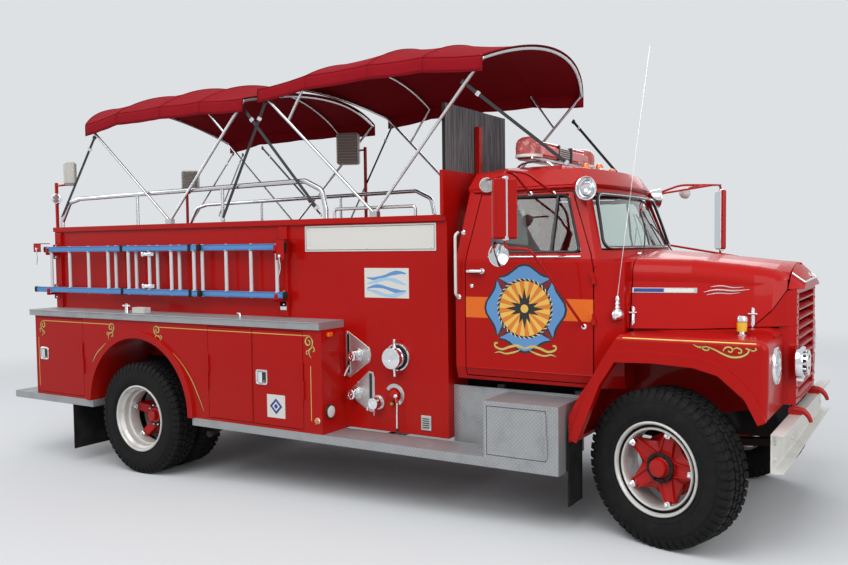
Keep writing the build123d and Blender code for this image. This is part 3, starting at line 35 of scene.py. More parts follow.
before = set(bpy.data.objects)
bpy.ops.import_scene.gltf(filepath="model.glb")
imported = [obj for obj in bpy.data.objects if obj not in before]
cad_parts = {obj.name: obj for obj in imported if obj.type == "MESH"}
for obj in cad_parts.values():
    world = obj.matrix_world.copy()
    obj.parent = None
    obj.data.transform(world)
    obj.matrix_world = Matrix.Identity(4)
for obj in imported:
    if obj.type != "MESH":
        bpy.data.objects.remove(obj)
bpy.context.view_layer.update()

# The truck is drawn level, in metres: x = 0 at the front axle, +x forward, +y to its
# left. STANCE sets it on its tyres, a little nose down, as its solids are.
WHEELBASE = 4.850
RAKE = atan2(0.118, WHEELBASE)
NOSE_REACH = 0.757 * cos(RAKE) + 0.806 * sin(RAKE)
TAIL_REACH = -6.717 * cos(RAKE) + 0.490 * sin(RAKE)
SETTLE = 0.515 - 0.556 * cos(RAKE)
STANCE = Matrix.Translation((-(NOSE_REACH + TAIL_REACH) / 2, 0, SETTLE)) @ Matrix.Rotation(RAKE, 4, "Y")
STEER = radians(16.9)
SIDE = {"right": -1, "left": 1}
CAB_FLOOR = 1.035


# Shader maths
class Tone:
    """One output of a shader node. Arithmetic on it adds the Math nodes."""

    def __init__(self, pot, socket):
        self.pot, self.socket = pot, socket

    def __add__(self, other):
        return self.pot.sum("ADD", self, other)

    def __sub__(self, other):
        return self.pot.sum("SUBTRACT", self, other)

    def __rsub__(self, other):
        return self.pot.sum("SUBTRACT", other, self)

    def __mul__(self, other):
        return self.pot.sum("MULTIPLY", self, other)

    def __truediv__(self, other):
        return self.pot.sum("DIVIDE", self, other)

    def __pow__(self, other):
        return self.pot.sum("POWER", self, other)

    def __gt__(self, other):
        return self.pot.sum("GREATER_THAN", self, other)

    def __lt__(self, other):
        return self.pot.sum("LESS_THAN", self, other)

    def __abs__(self):
        return self.pot.sum("ABSOLUTE", self)

    __radd__ = __add__
    __rmul__ = __mul__

    def high(self, other):
        return self.pot.sum("MAXIMUM", self, other)

    def floor(self):
        return self.pot.sum("FLOOR", self)

    def part(self):
        return self.pot.sum("FRACT", self)

    def wave(self):
        return self.pot.sum("SINE", self)

    def ease(self, start, end):
        """0 below start, 1 above end, and smooth between them."""
        return self.pot.add("ShaderNodeMapRange", {"interpolation_type": "SMOOTHSTEP"},
                            {"Value": self, "From Min": start, "From Max": end})


class Pot:
    """A pot of finish: a material and the ways of adding nodes to it."""

    def __init__(self, name, owner=None):
        self.name, self.kept = name, {}
        self.material = owner or bpy.data.materials.new(name)
        self.material.use_nodes = True
        self.tree = self.material.node_tree
        self.tree.nodes.clear()

    def add(self, kind, settings=(), sockets=(), out=0):
        """Adds one node with its settings and the values or links of its sockets."""
        node = self.tree.nodes.new(kind)
        for key, value in dict(settings).items():
            setattr(node, key, value)
        for key, value in dict(sockets).items():
            if isinstance(value, Tone):
                self.tree.links.new(value.socket, node.inputs[key])
            else:
                node.inputs[key].default_value = value
        return Tone(self, node.outputs[out] if node.outputs else None)

    def sum(self, operation, *values):
        return self.add("ShaderNodeMath", {"operation": operation}, dict(enumerate(values)))

    def blend(self, share, first, second):
        """A colour between two colours."""
        return self.add("ShaderNodeMix", {"data_type": "RGBA", "blend_type": "MIX"},
                        {0: share, 6: shade4(first), 7: shade4(second)}, 2)

    def spot(self):
        """Where the surface point is, in the stance of the truck on the ground."""
        if "spot" not in self.kept:
            self.kept["spot"] = self.add("ShaderNodeTexCoord", out="Object")
        return self.kept["spot"]

    def split(self, found):
        """The x, y and z of a vector."""
        node = self.tree.nodes.new("ShaderNodeSeparateXYZ")
        self.tree.links.new(found.socket, node.inputs[0])
        return [Tone(self, output) for output in node.outputs]

    def level(self):
        """The x, y and z of the surface point, with the truck level."""
        if "level" not in self.kept:
            self.kept["level"] = self.split(self.add(
                "ShaderNodeMapping", {"vector_type": "POINT"},
                {"Vector": self.spot(), "Location": STANCE.inverted().translation,
                 "Rotation": (0, -RAKE, 0)}))
        return self.kept["level"]

    def facing(self):
        """How far the surface faces along x, y and z."""
        return self.split(self.add("ShaderNodeTexCoord", out="Normal"))

    def cloud(self, scale, detail=3.0, rough=0.55, stretch=(1, 1, 1)):
        """Soft noise from 0 to 1. A larger scale is finer."""
        place = self.spot()
        if stretch != (1, 1, 1):
            place = self.add("ShaderNodeVectorMath", {"operation": "MULTIPLY"}, {0: place, 1: stretch})
        return self.add("ShaderNodeTexNoise", {},
                        {"Vector": place, "Scale": scale, "Detail": detail, "Roughness": rough})

    def bump(self, height, depth, under=None):
        """A normal from a height of 0 to 1, that many metres deep."""
        sockets = {"Height": height, "Distance": depth, "Strength": 1.0}
        if under is not None:
            sockets["Normal"] = under
        return self.add("ShaderNodeBump", {}, sockets)

    def rounded(self, radius):
        """A normal that rounds the sharp edges by that radius."""
        return self.add("ShaderNodeBevel", {"samples": 4}, {"Radius": radius})

    def coat(self, **sockets):
        """Ends the mix in one Principled surface."""
        named = {key.replace("_", " ").title().replace("Ior", "IOR"): value
                 for key, value in sockets.items()}
        if "Base Color" in named:
            named["Base Color"] = shade4(named["Base Color"])
        self.end(self.add("ShaderNodeBsdfPrincipled", {}, named))

    def end(self, surface):
        """Keeps the finish under its name."""
        self.add("ShaderNodeOutputMaterial", {}, {"Surface": surface})
        FINISHES[self.name] = self.material


def shade4(tone):
    """A colour with the fourth value that a socket wants."""
    return tone if isinstance(tone, Tone) else (*tuple(tone)[:3], 1)


def shade(red, green, blue):
    """A colour as a screen shows it, 0 to 255, as the shader wants it."""
    return tuple(v / 12.92 if v <= 0.04045 else ((v + 0.055) / 1.055) ** 2.4
                 for v in (red / 255, green / 255, blue / 255))


# Mesh code
def steps(start, end, count):
    """Evenly spaced values, both ends with them."""
    return [start + (end - start) * i / count for i in range(count + 1)]


def slab(x0, x1, y0, y1, z0, z1, ease=0.004):
    """A box with its edges eased."""
    ease = min(ease, (x1 - x0) / 2.2, (y1 - y0) / 2.2, (z1 - z0) / 2.2)
    verts, index = [], {}
    for sx in (0, 1):
        for sy in (0, 1):
            for sz in (0, 1):
                corner = Vector(((x0, x1)[sx], (y0, y1)[sy], (z0, z1)[sz]))
                inward = Vector((1 - 2 * sx, 1 - 2 * sy, 1 - 2 * sz)) * ease
                for axis in range(3):
                    point = corner + inward
                    point[axis] = corner[axis]
                    index[sx, sy, sz, axis] = len(verts)
                    verts.append(point)
    faces = []
    for axis in range(3):
        u, v = [a for a in range(3) if a != axis]
        for end in (0, 1):
            ring = []
            for a, b in ((0, 0), (1, 0), (1, 1), (0, 1)):
                key = [0, 0, 0]
                key[axis], key[u], key[v] = end, a, b
                ring.append(index[(*key, axis)])
            flip = end == (0 if axis != 1 else 1)
            faces.append(ring[::-1] if flip else ring)
        for a in (0, 1):
            for b in (0, 1):
                low, high = [0, 0, 0], [0, 0, 0]
                low[u] = high[u] = a
                low[v] = high[v] = b
                high[axis] = 1
                faces.append([index[(*low, u)], index[(*low, v)], index[(*high, v)], index[(*high, u)]])
    for sx in (0, 1):
        for sy in (0, 1):
            for sz in (0, 1):
                faces.append([index[sx, sy, sz, axis] for axis in range(3)])
    return verts, faces


def turned(profile, count=40):
    """A shape turned about z from (radius, z) pairs."""
    verts, faces, rows = [], [], []
    for radius, z in profile:
        if radius < 1e-7:
            rows.append([len(verts)] * count)
            verts.append(Vector((0, 0, z)))
        else:
            rows.append(list(range(len(verts), len(verts) + count)))
            verts += [Vector((radius * cos(tau * i / count), radius * sin(tau * i / count), z))
                      for i in range(count)]
    for low, high in zip(rows, rows[1:]):
        for i in range(count):
            j = (i + 1) % count
            ring = [low[i], low[j], high[j], high[i]]
            ring = [v for k, v in enumerate(ring) if v != ring[k - 1]]
            if len(ring) > 2:
                faces.append(ring)
    return verts, faces


def smooth_path(points, count):
    """Points on a smooth line through the given ones, count to each stretch."""
    points = [Vector(p) for p in points]
    found = []
    for i in range(len(points) - 1):
        before = points[max(i - 1, 0)]
        start, end = points[i], points[i + 1]
        after = points[min(i + 2, len(points) - 1)]
        for k in range(count):
            t = k / count
            found.append(0.5 * (2 * start + (end - before) * t
                                + (2 * before - 5 * start + 4 * end - after) * t * t
                                + (3 * start - before - 3 * end + after) * t ** 3))
    return found + [points[-1]]


def rounded_path(points, radius, count=6, closed=False):
    """The same runs, with an arc at each corner."""
    points = [Vector(p) for p in points]
    if radius <= 0:
        return points
    found = [] if closed else [points[0]]
    span = range(len(points)) if closed else range(1, len(points) - 1)
    for i in span:
        before, corner, after = points[i - 1], points[i], points[(i + 1) % len(points)]
        back, on = before - corner, after - corner
        reach = min(radius, back.length * 0.45, on.length * 0.45)
        start, end = corner + back.normalized() * reach, corner + on.normalized() * reach
        for t in steps(0, 1, count):
            found.append(start * (1 - t) ** 2 + corner * 2 * t * (1 - t) + end * t * t)
    return found if closed else found + [points[-1]]


def pipe(points, radius, sides=12, closed=False, flat=1.0):
    """A round bar along points. flat squeezes it across its second direction."""
    points = [Vector(p) for p in points]
    count = len(points)
    radii = radius if isinstance(radius, (list, tuple)) else [radius] * count
    verts, faces = [], []
    across = None
    for i, point in enumerate(points):
        before = points[i - 1] if (i or closed) else point
        after = points[(i + 1) % count] if (i < count - 1 or closed) else point
        along = (after - before).normalized()
        if across is None:
            hint = Vector((0, 0, 1)) if abs(along.z) < 0.9 else Vector((1, 0, 0))
            across = along.cross(hint).normalized()
        across = (across - along * across.dot(along)).normalized()
        up = along.cross(across)
        stretch = 1.0
        if 0 < i < count - 1 or closed:
            turn = (point - before).normalized().dot((after - point).normalized())
            stretch = min(1.3, 1 / sqrt(max(0.3, (1 + turn) / 2)))
        for k in range(sides):
            a = tau * k / sides
            verts.append(point + (across * cos(a) * stretch + up * sin(a) * flat) * radii[i])
    spans = count if closed else count - 1
    for i in range(spans):
        a, b = i * sides, ((i + 1) % count) * sides
        for k in range(sides):
            m = (k + 1) % sides
            faces.append([a + m, a + k, b + k, b + m])
    if not closed:
        faces.append(list(range(sides)))
        faces.append(list(range(len(verts) - 1, len(verts) - 1 - sides, -1)))
    return verts, faces


def cut(outline, z0, z1, ease=0.0):
    """A plate cut to an outline in x and y, from z0 to z1, its top edge eased."""
    outline = [Vector((*p, 0)) for p in outline]
    if sum(a.x * b.y - b.x * a.y for a, b in zip(outline, outline[1:] + outline[:1])) < 0:
        outline.reverse()
    count = len(outline)
    levels = [(0.0, z0)]
    levels += [(0.0, z1 - ease), (ease, z1)] if ease else [(0.0, z1)]
    verts, faces = [], []
    for inset, z in levels:
        for i, point in enumerate(outline):
            if inset:
                back = (outline[i] - outline[i - 1]).normalized()
                on = (outline[(i + 1) % count] - outline[i]).normalized()
                inward = Vector((-back.y - on.y, back.x + on.x, 0))
                if inward.length > 1e-6:
                    inward.normalize()
                    lean = max(0.35, inward.dot(Vector((-on.y, on.x, 0))))
                    point = point + inward * (inset / lean)
            verts.append(Vector((point.x, point.y, z)))
    faces.append(list(range(count))[::-1])
    for row in range(len(levels) - 1):
        a, b = row * count, (row + 1) * count
        for k in range(count):
            m = (k + 1) % count
            faces.append([a + k, a + m, b + m, b + k])
    faces.append([(len(levels) - 1) * count + k for k in range(count)])
    return verts, faces


def cloth_grid(rows, wrap=False):
    """Faces over rows of points."""
    across = len(rows[0])
    verts = [Vector(p) for row in rows for p in row]
    faces = []
    for i in range(len(rows) - 1):
        for k in range(across if wrap else across - 1):
            m = (k + 1) % across
            faces.append([i * across + k, i * across + m, (i + 1) * across + m, (i + 1) * across + k])
    return verts, faces


def facing_to(point, toward, top=(0, 0, 1)):
    """A frame at point whose z runs along toward, with its y near top."""
    z = Vector(toward).normalized()
    x = Vector(top).cross(z)
    if x.length < 1e-5:
        x = Vector((1, 0, 0))
    x.normalize()
    y = z.cross(x)
    turn = Matrix((x, y, z)).transposed().to_4x4()
    return Matrix.Translation(point) @ turn


def on_flank(x, out, z, side=-1):
    """A frame on the truck's flank: its x forward, its y up and its z straight out."""
    place = facing_to((x, -out, z), (0, -1, 0))
    return place if side < 0 else Matrix.Scale(-1, 4, (0, 1, 0)) @ place


def ribbon(points, widths, thick, count=6):
    """A flat band along a smooth line in x and y, with its widths spread along it."""
    line = smooth_path([(*p, 0) for p in points], count)
    rows = []
    for i, point in enumerate(line):
        along = (line[min(i + 1, len(line) - 1)] - line[max(i - 1, 0)]).normalized()
        share = i / (len(line) - 1) * (len(widths) - 1)
        low = min(int(share), len(widths) - 2)
        wide = widths[low] + (widths[low + 1] - widths[low]) * (share - low)
        edge = Vector((-along.y, along.x, 0)) * wide / 2
        top = Vector((0, 0, thick))
        rows.append([point + edge, point + edge + top, point - edge + top, point - edge])
    return cloth_grid(rows)


def wrap(shape, onto):
    """The same shape with its x, y and z carried onto a curved surface."""
    verts, faces = shape
    return [onto(v.x, v.y, v.z) for v in verts], faces


def star(points, outer, inner, turn=0.0):
    """The outline of a star with that many points."""
    return [((outer, inner)[i % 2] * cos(turn + pi * i / points),
             (outer, inner)[i % 2] * sin(turn + pi * i / points))
            for i in range(2 * points)]


def arc_points(radius, start, end, count):
    """Points along an arc, from one angle to another."""
    return [(radius * cos(a), radius * sin(a)) for a in steps(start, end, count)]


def bolt_row(job, place, points, across=0.016, high=0.006, finish="bright_chrome"):
    """Round bolt heads at those points of a place."""
    for x, y in points:
        head = turned([(across / 2, 0), (across / 2, high * 0.6), (across * 0.32, high), (0, high)], 12)
        job.lay(head, finish, place @ Matrix.Translation((x, y, 0)))


class Job:
    """One piece while it is made: faces with their finishes, drawn level."""

    def __init__(self, name):
        self.name, self.verts, self.faces, self.marks, self.pots = name, [], [], [], []

    def lay(self, shape, finish, place=None, flip=False):
        """Adds a shape at its place, in one finish."""
        verts, faces = shape
        start = len(self.verts)
        self.verts += [Vector(v) if place is None else place @ Vector(v) for v in verts]
        if place is not None and place.determinant() < 0:
            flip = not flip
        if finish not in self.pots:
            self.pots.append(finish)
        mark = self.pots.index(finish)
        for face in faces:
            self.faces.append([start + v for v in (face[::-1] if flip else face)])
            self.marks.append(mark)

    def spin(self, profile, count, finish, place=None, flip=False):
        """Adds a shape turned about the z of its place."""
        self.lay(turned(profile, count), finish, place, flip)

    def tube(self, points, radius, sides, finish, place=None):
        """Adds a pipe along those points."""
        self.lay(pipe(points, radius, sides), finish, place)

    def box(self, x0, x1, y0, y1, z0, z1, ease, finish, place=None):
        """Adds a box with its edges eased."""
        self.lay(slab(x0, x1, y0, y1, z0, z1, ease), finish, place)

    def mirrored(self):
        """Adds the same again on the other side of the truck."""
        start, across = len(self.verts), Matrix.Scale(-1, 4, (0, 1, 0))
        self.verts += [across @ v for v in self.verts]
        self.faces += [[start + v for v in face[::-1]] for face in self.faces]
        self.marks += self.marks

    def make(self, body, stance=STANCE, crease=35):
        """Makes the object, in the truck's stance, and lets it ride on its body."""
        mesh = bpy.data.meshes.new(self.name)
        mesh.from_pydata([stance @ v for v in self.verts], [], self.faces)
        for finish in self.pots:
            mesh.materials.append(FINISHES[finish])
        mesh.polygons.foreach_set("material_index", self.marks)
        mesh.polygons.foreach_set("use_smooth", [True] * len(self.faces))
        mesh.validate()
        mesh.set_sharp_from_angle(angle=radians(crease))
        piece = bpy.data.objects.new(self.name, mesh)
        bpy.context.scene.collection.objects.link(piece)
        if body:
            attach(piece, body)
        return piece


FINISHES = {}
BACKDROP = shade(222, 225, 228)


# Finishes
# Gold pinstripes on the lockers: first and last x, first and last z
PINSTRIPES = (
    (-6.220, -5.150, 1.2965, 1.3035), (-4.600, -2.800, 1.2965, 1.3035), (-6.3035, -6.2965, 0.640, 1.130),
    (-2.8035, -2.7965, 0.620, 1.060),
)


WORN_FINISHES = {
    # name: colour and worn colour from 0 to 255, noise of the wear (scale, detail, roughness, from, to),
    # its share, roughness and how much more of it where worn, grain (scale, detail, roughness, depth),
    # rounding of the edges, other sockets
    "bright_chrome": ((232, 233, 235), (176, 174, 170), (22, 4, 0.6, 0.45, 0.8), 0.3, 0.07, 0.14, None, 0.002,
                      {"metallic": 1.0}),
    "tyre_rubber": ((22, 22, 23), (52, 50, 48), (12, 6, 0.7, 0.4, 0.75), 0.4, 0.72, 0.15,
                    (220, 3, 0.6, 0.0003),
                    0.002, {"specular_ior_level": 0.18}),
    "flap_rubber": ((20, 20, 21), (64, 61, 57), (6, 6, 0.7, 0.35, 0.8), 0.45, 0.7, 0.0, (60, 3, 0.55, 0.0006),
                    0.002, {"specular_ior_level": 0.2}),
    "engine_iron": ((46, 42, 40), (96, 82, 68), (9, 6, 0.7, 0.4, 0.75), 1.0, 0.72, 0.0,
                    (150, 3, 0.55, 0.0006),
                    0.004, {"metallic": 0.3}),
    "rim_silver": ((214, 213, 209), (142, 132, 120), (9, 6, 0.68, 0.45, 0.8), 0.45, 0.36, 0.25,
                   (120, 3, 0.55, 0.0002), 0.002, {"metallic": 0.35, "coat_weight": 0.3}),
    "brass": ((204, 160, 84), (128, 92, 52), (18, 5, 0.65, 0.4, 0.8), 1.0, 0.28, 0.2, None, 0.002,
              {"metallic": 0.95}),
    "mirror_glass": ((206, 212, 216), (150, 150, 148), (9, 4, 0.6, 0.5, 0.85), 0.2, 0.03, 0.10, None, None,
                     {"metallic": 1.0}),
    "dome_plastic": ((236, 120, 112), (214, 84, 80), (12, 4, 0.6, 0.35, 0.8), 0.5, 0.12, 0.2, None, None,
                     {"transmission_weight": 0.55, "ior": 1.3, "coat_weight": 0.8}),
}
MOULDED = {
    "speaker_shell": (206, 204, 196), "speaker_mesh": (158, 156, 150), "dash_paint": (120, 22, 20),
    "rung_silver": (216, 217, 219),
}
# The black film is print on the badges, signs and scrolls, and painted shade where it stands for slots and
# openings.
FILMS = {
    "black_film_and_painted_shade": (22, 22, 24), "sky_blue": (96, 150, 205), "ice_blue": (172, 206, 232),
    "deep_blue": (30, 58, 140),
    "dark_red": (120, 14, 18), "cream_film": (238, 226, 190), "sun_pale": (244, 196, 92),
    "sun_deep": (228, 130, 40),
    "sign_white": (226, 224, 218), "window_rubber": (20, 20, 21), "strap_web": (34, 34, 36),
}
LENSES = {"red_lens": (222, 16, 12), "yellow_lens": (246, 196, 10), "amber_lens": (240, 120, 16)}


def mix_finishes(chosen):
    """Mixes every finish of the truck once, from the colours that the user set."""
    red = chosen.red
    for name, row in WORN_FINISHES.items():
        worn(name, shade(*row[0]), shade(*row[1]), *row[2:])
    for name, tone in MOULDED.items():
        tone = shade(*tone)
        worn(name, tone, [c * 0.75 for c in tone], (4, 4, 0.6, 0.4, 0.8), 0.3, 0.48, 0.15,
             (300, 2, 0.55, 0.00015), 0.006, {})
    for name, tone in FILMS.items():
        tone = shade(*tone)
        worn(name, tone, [c * 0.7 + 0.02 for c in tone], (26, 5, 0.7, 0.55, 0.8), 0.3, 0.38, 0.25, None, None,
             {"coat_weight": 0.25, "coat_roughness": 0.2})
    for name, tone in LENSES.items():
        lens(name, shade(*tone))
    worn("red_wheel", [c * 1.1 for c in red], shade(86, 40, 32), (14, 6, 0.7, 0.45, 0.8), 0.45, 0.34, 0.25,
         (90, 3, 0.6, 0.0004), 0.003, {"specular_ior_level": 0.3, "coat_weight": 0.2, "coat_roughness": 0.15})
    enamel("red_enamel", red)
    enamel("red_door", red, band=chosen.orange)
    enamel("red_striped", red, stripes=chosen.gold)
    enamel("blue_enamel", chosen.ladder_blue, fade=0.10)
    enamel("black_enamel", shade(26, 26, 27), fade=0.3)
    bumper_white(chosen.white)
    tread_plate(chosen.aluminium)
    canvas(chosen.canvas)
    canvas_seam(chosen.canvas)
    gold_leaf(chosen.gold)
    vinyl(shade(38, 36, 35))
    for mix in (pipe_steel, brushed_plate, window_glass, clear_lens, old_boards, stage_floor):
        mix()


def worn(name, colour, rubbed, wear, share, rough, rougher, grain, rounding, rest):
    """A colour worn in patches to another, over an even grain."""
    pot = Pot(name)
    patch = pot.cloud(*wear[:3]).ease(*wear[3:])
    sockets = {"base_color": pot.blend(patch * share, colour, rubbed),
               "roughness": patch * rougher + rough, **rest}
    if rounding:
        sockets["normal"] = pot.rounded(rounding)
    if grain:
        sockets["normal"] = pot.bump(pot.cloud(*grain[:3]), grain[3], sockets.get("normal"))
    pot.coat(**sockets)


def enamel(name, colour, band=None, stripes=None, fade=0.16):
    """Sprayed enamel: a little uneven, chalky on top, dusty low down, with clear gloss."""
    pot = Pot(name)
    x, y, z = pot.level()
    drift = pot.cloud(1.3, 4)
    base = pot.blend(drift.ease(0.3, 0.75) * fade, colour, [c * 1.25 + 0.004 for c in colour[:3]])
    base = pot.blend(pot.cloud(9, 5, 0.7).ease(0.55, 0.8) * 0.25, base, [c * 0.72 for c in colour[:3]])
    if band is not None:
        edges = (z > 1.472) * (z < 1.624) * (x > -1.546) * (x < -0.560)
        base = pot.blend(edges, base, band)
        line = (abs(z - 1.548) - 0.078).ease(-0.004, 0.004)
        rim = edges * line
        base = pot.blend(rim, base, shade(236, 190, 90))
    if stripes is not None:
        lines = None
        for x0, x1, z0, z1 in PINSTRIPES:
            line = (x > x0) * (x < x1) * (z > z0) * (z < z1)
            lines = line if lines is None else lines.high(line)
        base = pot.blend(lines * (abs(y) > 1.17), base, stripes)
    dust = (1 - z.ease(0.35, 1.15)) * pot.cloud(3.2, 5, 0.62).ease(0.3, 0.8)
    streak = pot.cloud(5, 4, 0.6, (6, 6, 0.35)).ease(0.58, 0.75) * 0.12
    base = pot.blend(dust * 0.16 + streak * 0.25, base, shade(128, 84, 66))
    peel = pot.bump(pot.cloud(260, 2), 0.00010, pot.rounded(0.004))
    pot.coat(base_color=base, roughness=dust * 0.25 + 0.36, specular_ior_level=0.12,
             coat_weight=0.26 - dust * 0.22, coat_roughness=0.05, coat_ior=1.4, normal=peel)


def bumper_white(colour):
    """White paint on steel, chipped through to rust along its edges."""
    pot = Pot("white_enamel")
    grime = pot.cloud(7, 6, 0.68)
    chips = pot.cloud(34, 5, 0.72).ease(0.66, 0.72)
    base = pot.blend(grime.ease(0.45, 0.8) * 0.45, colour, shade(150, 138, 120))
    base = pot.blend(chips, base, pot.blend(pot.cloud(60), shade(92, 52, 30), shade(58, 40, 32)))
    pot.coat(base_color=base, roughness=0.42 + chips * 0.4,
             normal=pot.bump(1 - chips, 0.0004, pot.rounded(0.004)), coat_weight=0.2)


def tread_plate(colour):
    """Aluminium plate with raised lozenges, each turned across its neighbours."""
    pot = Pot("tread_plate")
    x, y, z = pot.level()
    fx, _, fz = pot.facing()
    flat, end = (abs(fz) > 0.6), (abs(fx) > 0.6)
    pitch = 0.021
    u = (x * (1 - end) + y * end) / pitch
    v = (y * flat + z * (1 - flat)) / pitch
    a, b = (u + v) * 0.7071, (u - v) * 0.7071
    checker = ((a.floor() + b.floor()) * 0.5).part() * 2
    pa, pb = a.part() - 0.5, b.part() - 0.5
    long_way = pa * checker + pb * (1 - checker)
    cross_way = pb * checker + pa * (1 - checker)
    lug = 1 - ((long_way * 2.3) ** 2 + (cross_way * 6.5) ** 2).ease(0.45, 1.0)
    grime = pot.cloud(5, 5, 0.65).ease(0.42, 0.78)
    base = pot.blend(grime * 0.5, colour, [c * 0.55 for c in colour[:3]])
    # Painted shade: the flat between the lozenges is darkened, which leaves the raised lozenges lighter.
    base = pot.blend((1 - lug) * 0.5, base, [c * 0.42 for c in colour[:3]])
    pot.coat(base_color=base, metallic=0.60, roughness=0.46 + grime * 0.22 - lug * 0.08,
             normal=pot.bump(lug, 0.0028, pot.rounded(0.003)))


def pipe_steel():
    """Drawn stainless tube: fine scratches and dull patches."""
    pot = Pot("pipe_steel")
    dull = pot.cloud(6, 5, 0.6).ease(0.4, 0.8)
    scratch = pot.cloud(140, 3, 0.6, (1, 1, 0.2))
    pot.coat(base_color=pot.blend(dull * 0.4, shade(214, 215, 216), shade(150, 150, 150)),
             metallic=0.95, roughness=0.2 + dull * 0.2, normal=pot.bump(scratch, 0.00006))


def canvas(colour):
    """Woven acrylic canvas: threads, sun fade on the crown and faint soiling."""
    pot = Pot("canvas")
    x, y, _ = pot.level()
    threads = (x * 3600).wave() * 0.25 + (y * 3600).wave() * 0.25 + 0.5
    fade = pot.cloud(0.9, 4, 0.6).ease(0.3, 0.8)
    soil = pot.cloud(4.5, 5, 0.65).ease(0.55, 0.85)
    base = pot.blend(fade * 0.22, colour, [c * 1.2 + 0.004 for c in colour[:3]])
    base = pot.blend(soil * 0.18, base, [c * 0.6 for c in colour[:3]])
    wrinkle = pot.cloud(7, 3, 0.5, (1, 1.6, 1))
    under = pot.bump(wrinkle, 0.006)
    pot.coat(base_color=base, roughness=0.9, specular_ior_level=0.12,
             normal=pot.bump(threads, 0.0003, under))


def window_glass():
    pot = Pot("window_glass")
    smear = pot.cloud(5, 4, 0.6).ease(0.5, 0.85)
    pot.coat(base_color=shade(226, 236, 232), roughness=smear * 0.05 + 0.01, transmission_weight=1.0,
             ior=1.45, coat_weight=0.2)


def vinyl(colour):
    pot = Pot("bench_vinyl")
    creases = pot.cloud(30, 4, 0.6)
    worn = pot.cloud(5, 4, 0.6).ease(0.5, 0.8)
    base = pot.blend(worn * 0.4, colour, [c * 1.8 + 0.01 for c in colour])
    pot.coat(base_color=base, roughness=0.42 + worn * 0.2,
             normal=pot.bump(pot.cloud(420, 2), 0.0002, pot.bump(creases, 0.0012)))


def old_boards():
    """Weathered upright boards: silvered, with dark grain and gaps."""
    pot = Pot("old_boards")
    _, y, _ = pot.level()
    board = (y / 0.092).part()
    gap = (abs(board - 0.5) - 0.47).ease(0.0, 0.02)
    number = (y / 0.092).floor()
    tint = ((number * 12.9898).wave() * 437.5).part()
    rings = pot.cloud(16, 6, 0.7, (1, 3.2, 0.16))
    fine = pot.cloud(70, 4, 0.7, (1, 3.0, 0.05))
    base = pot.blend(rings.ease(0.35, 0.7), shade(68, 67, 69), shade(132, 131, 133))
    base = pot.blend(fine.ease(0.5, 0.75) * 0.45, base, shade(50, 48, 49))
    base = pot.blend(tint * 0.30, base, shade(98, 95, 94))
    base = pot.blend(gap, base, shade(18, 15, 14))
    depth = rings * 0.4 + fine * 0.3 - gap
    pot.coat(base_color=base, roughness=0.9, normal=pot.bump(depth, 0.0025, pot.rounded(0.003)))


def lens(name, colour):
    """Moulded clear plastic: coloured, glossy and finely ribbed."""
    pot = Pot(name)
    _, _, z = pot.level()
    ribs = (z * 520).wave() * 0.5 + 0.5
    haze = pot.cloud(14, 4, 0.6).ease(0.5, 0.85)
    base = pot.blend(ribs * 0.35 + haze * 0.2, colour, [c * 0.55 for c in colour])
    pot.coat(base_color=base, roughness=0.12 + haze * 0.2, coat_weight=1.0, coat_roughness=0.04,
             normal=pot.bump(ribs, 0.0006))


def canvas_seam(colour):
    """Folded and sewn canvas edge: darker, with stitches."""
    pot = Pot("canvas_seam")
    x, y, z = pot.level()
    stitch = ((x * 1100).wave() * (y * 1100 + z * 700).wave()).ease(0.35, 0.7)
    base = pot.blend(stitch * 0.35, [c * 0.62 for c in colour], [c * 1.3 + 0.02 for c in colour])
    pot.coat(base_color=base, roughness=0.88, specular_ior_level=0.12,
             normal=pot.bump(pot.cloud(400, 2) + stitch * 0.5, 0.0006))


def seen_ray(pot):
    """1 for rays that show the stage: straight, in a mirror or through glass."""
    rays = [pot.add("ShaderNodeLightPath", out=name) for name in
            ("Is Camera Ray", "Is Glossy Ray", "Is Transmission Ray")]
    return rays[0].high(rays[1]).high(rays[2])


def stage_floor():
    """Plain pale floor that keeps the shadow and melts into the backdrop further out."""
    pot = Pot("stage_floor")
    seen = seen_ray(pot)
    reach = pot.add("ShaderNodeVectorMath", {"operation": "LENGTH"}, {0: pot.spot()}, out="Value")
    tone = pot.blend(seen, shade(150, 150, 150), shade(218, 220, 222))
    near = pot.add("ShaderNodeBsdfDiffuse", {}, {"Color": tone})
    far = pot.add("ShaderNodeEmission", {}, {"Color": shade4(BACKDROP)})
    both = pot.add("ShaderNodeMixShader", {}, {0: reach.ease(6.0, 15.0) * seen, 1: near, 2: far})
    pot.end(both)


def gold_leaf(colour):
    """Gilding: burnished in small swirls, with darker patches."""
    pot = Pot("gold_leaf")
    swirl = pot.cloud(120, 4, 0.6)
    worn = pot.cloud(14, 5, 0.7).ease(0.5, 0.8)
    base = pot.blend(swirl * 0.4, colour, [c * 1.3 for c in colour])
    base = pot.blend(worn * 0.35, base, [c * 0.5 for c in colour])
    pot.coat(base_color=base, metallic=0.35, roughness=0.34 + worn * 0.2, normal=pot.bump(swirl, 0.00015))


def brushed_plate():
    """Brushed stainless plate, lightly scratched all ways."""
    pot = Pot("brushed_plate")
    brush = pot.cloud(60, 4, 0.6, (0.15, 0.15, 6))
    dull = pot.cloud(7, 5, 0.65).ease(0.4, 0.8)
    base = pot.blend(dull * 0.5, shade(206, 206, 204), shade(150, 147, 142))
    pot.coat(base_color=base, metallic=0.9, roughness=0.30 + dull * 0.15,
             normal=pot.bump(brush, 0.00012, pot.rounded(0.002)))


def clear_lens():
    """Clear pressed glass with fine ribs, over a bright bowl."""
    pot = Pot("clear_lens")
    _, y, _ = pot.level()
    ribs = (y * 380).wave() * 0.5 + 0.5
    pot.coat(base_color=shade(236, 240, 242), roughness=0.04, transmission_weight=0.85, ior=1.35,
             coat_weight=0.6, normal=pot.bump(ribs, 0.0004))


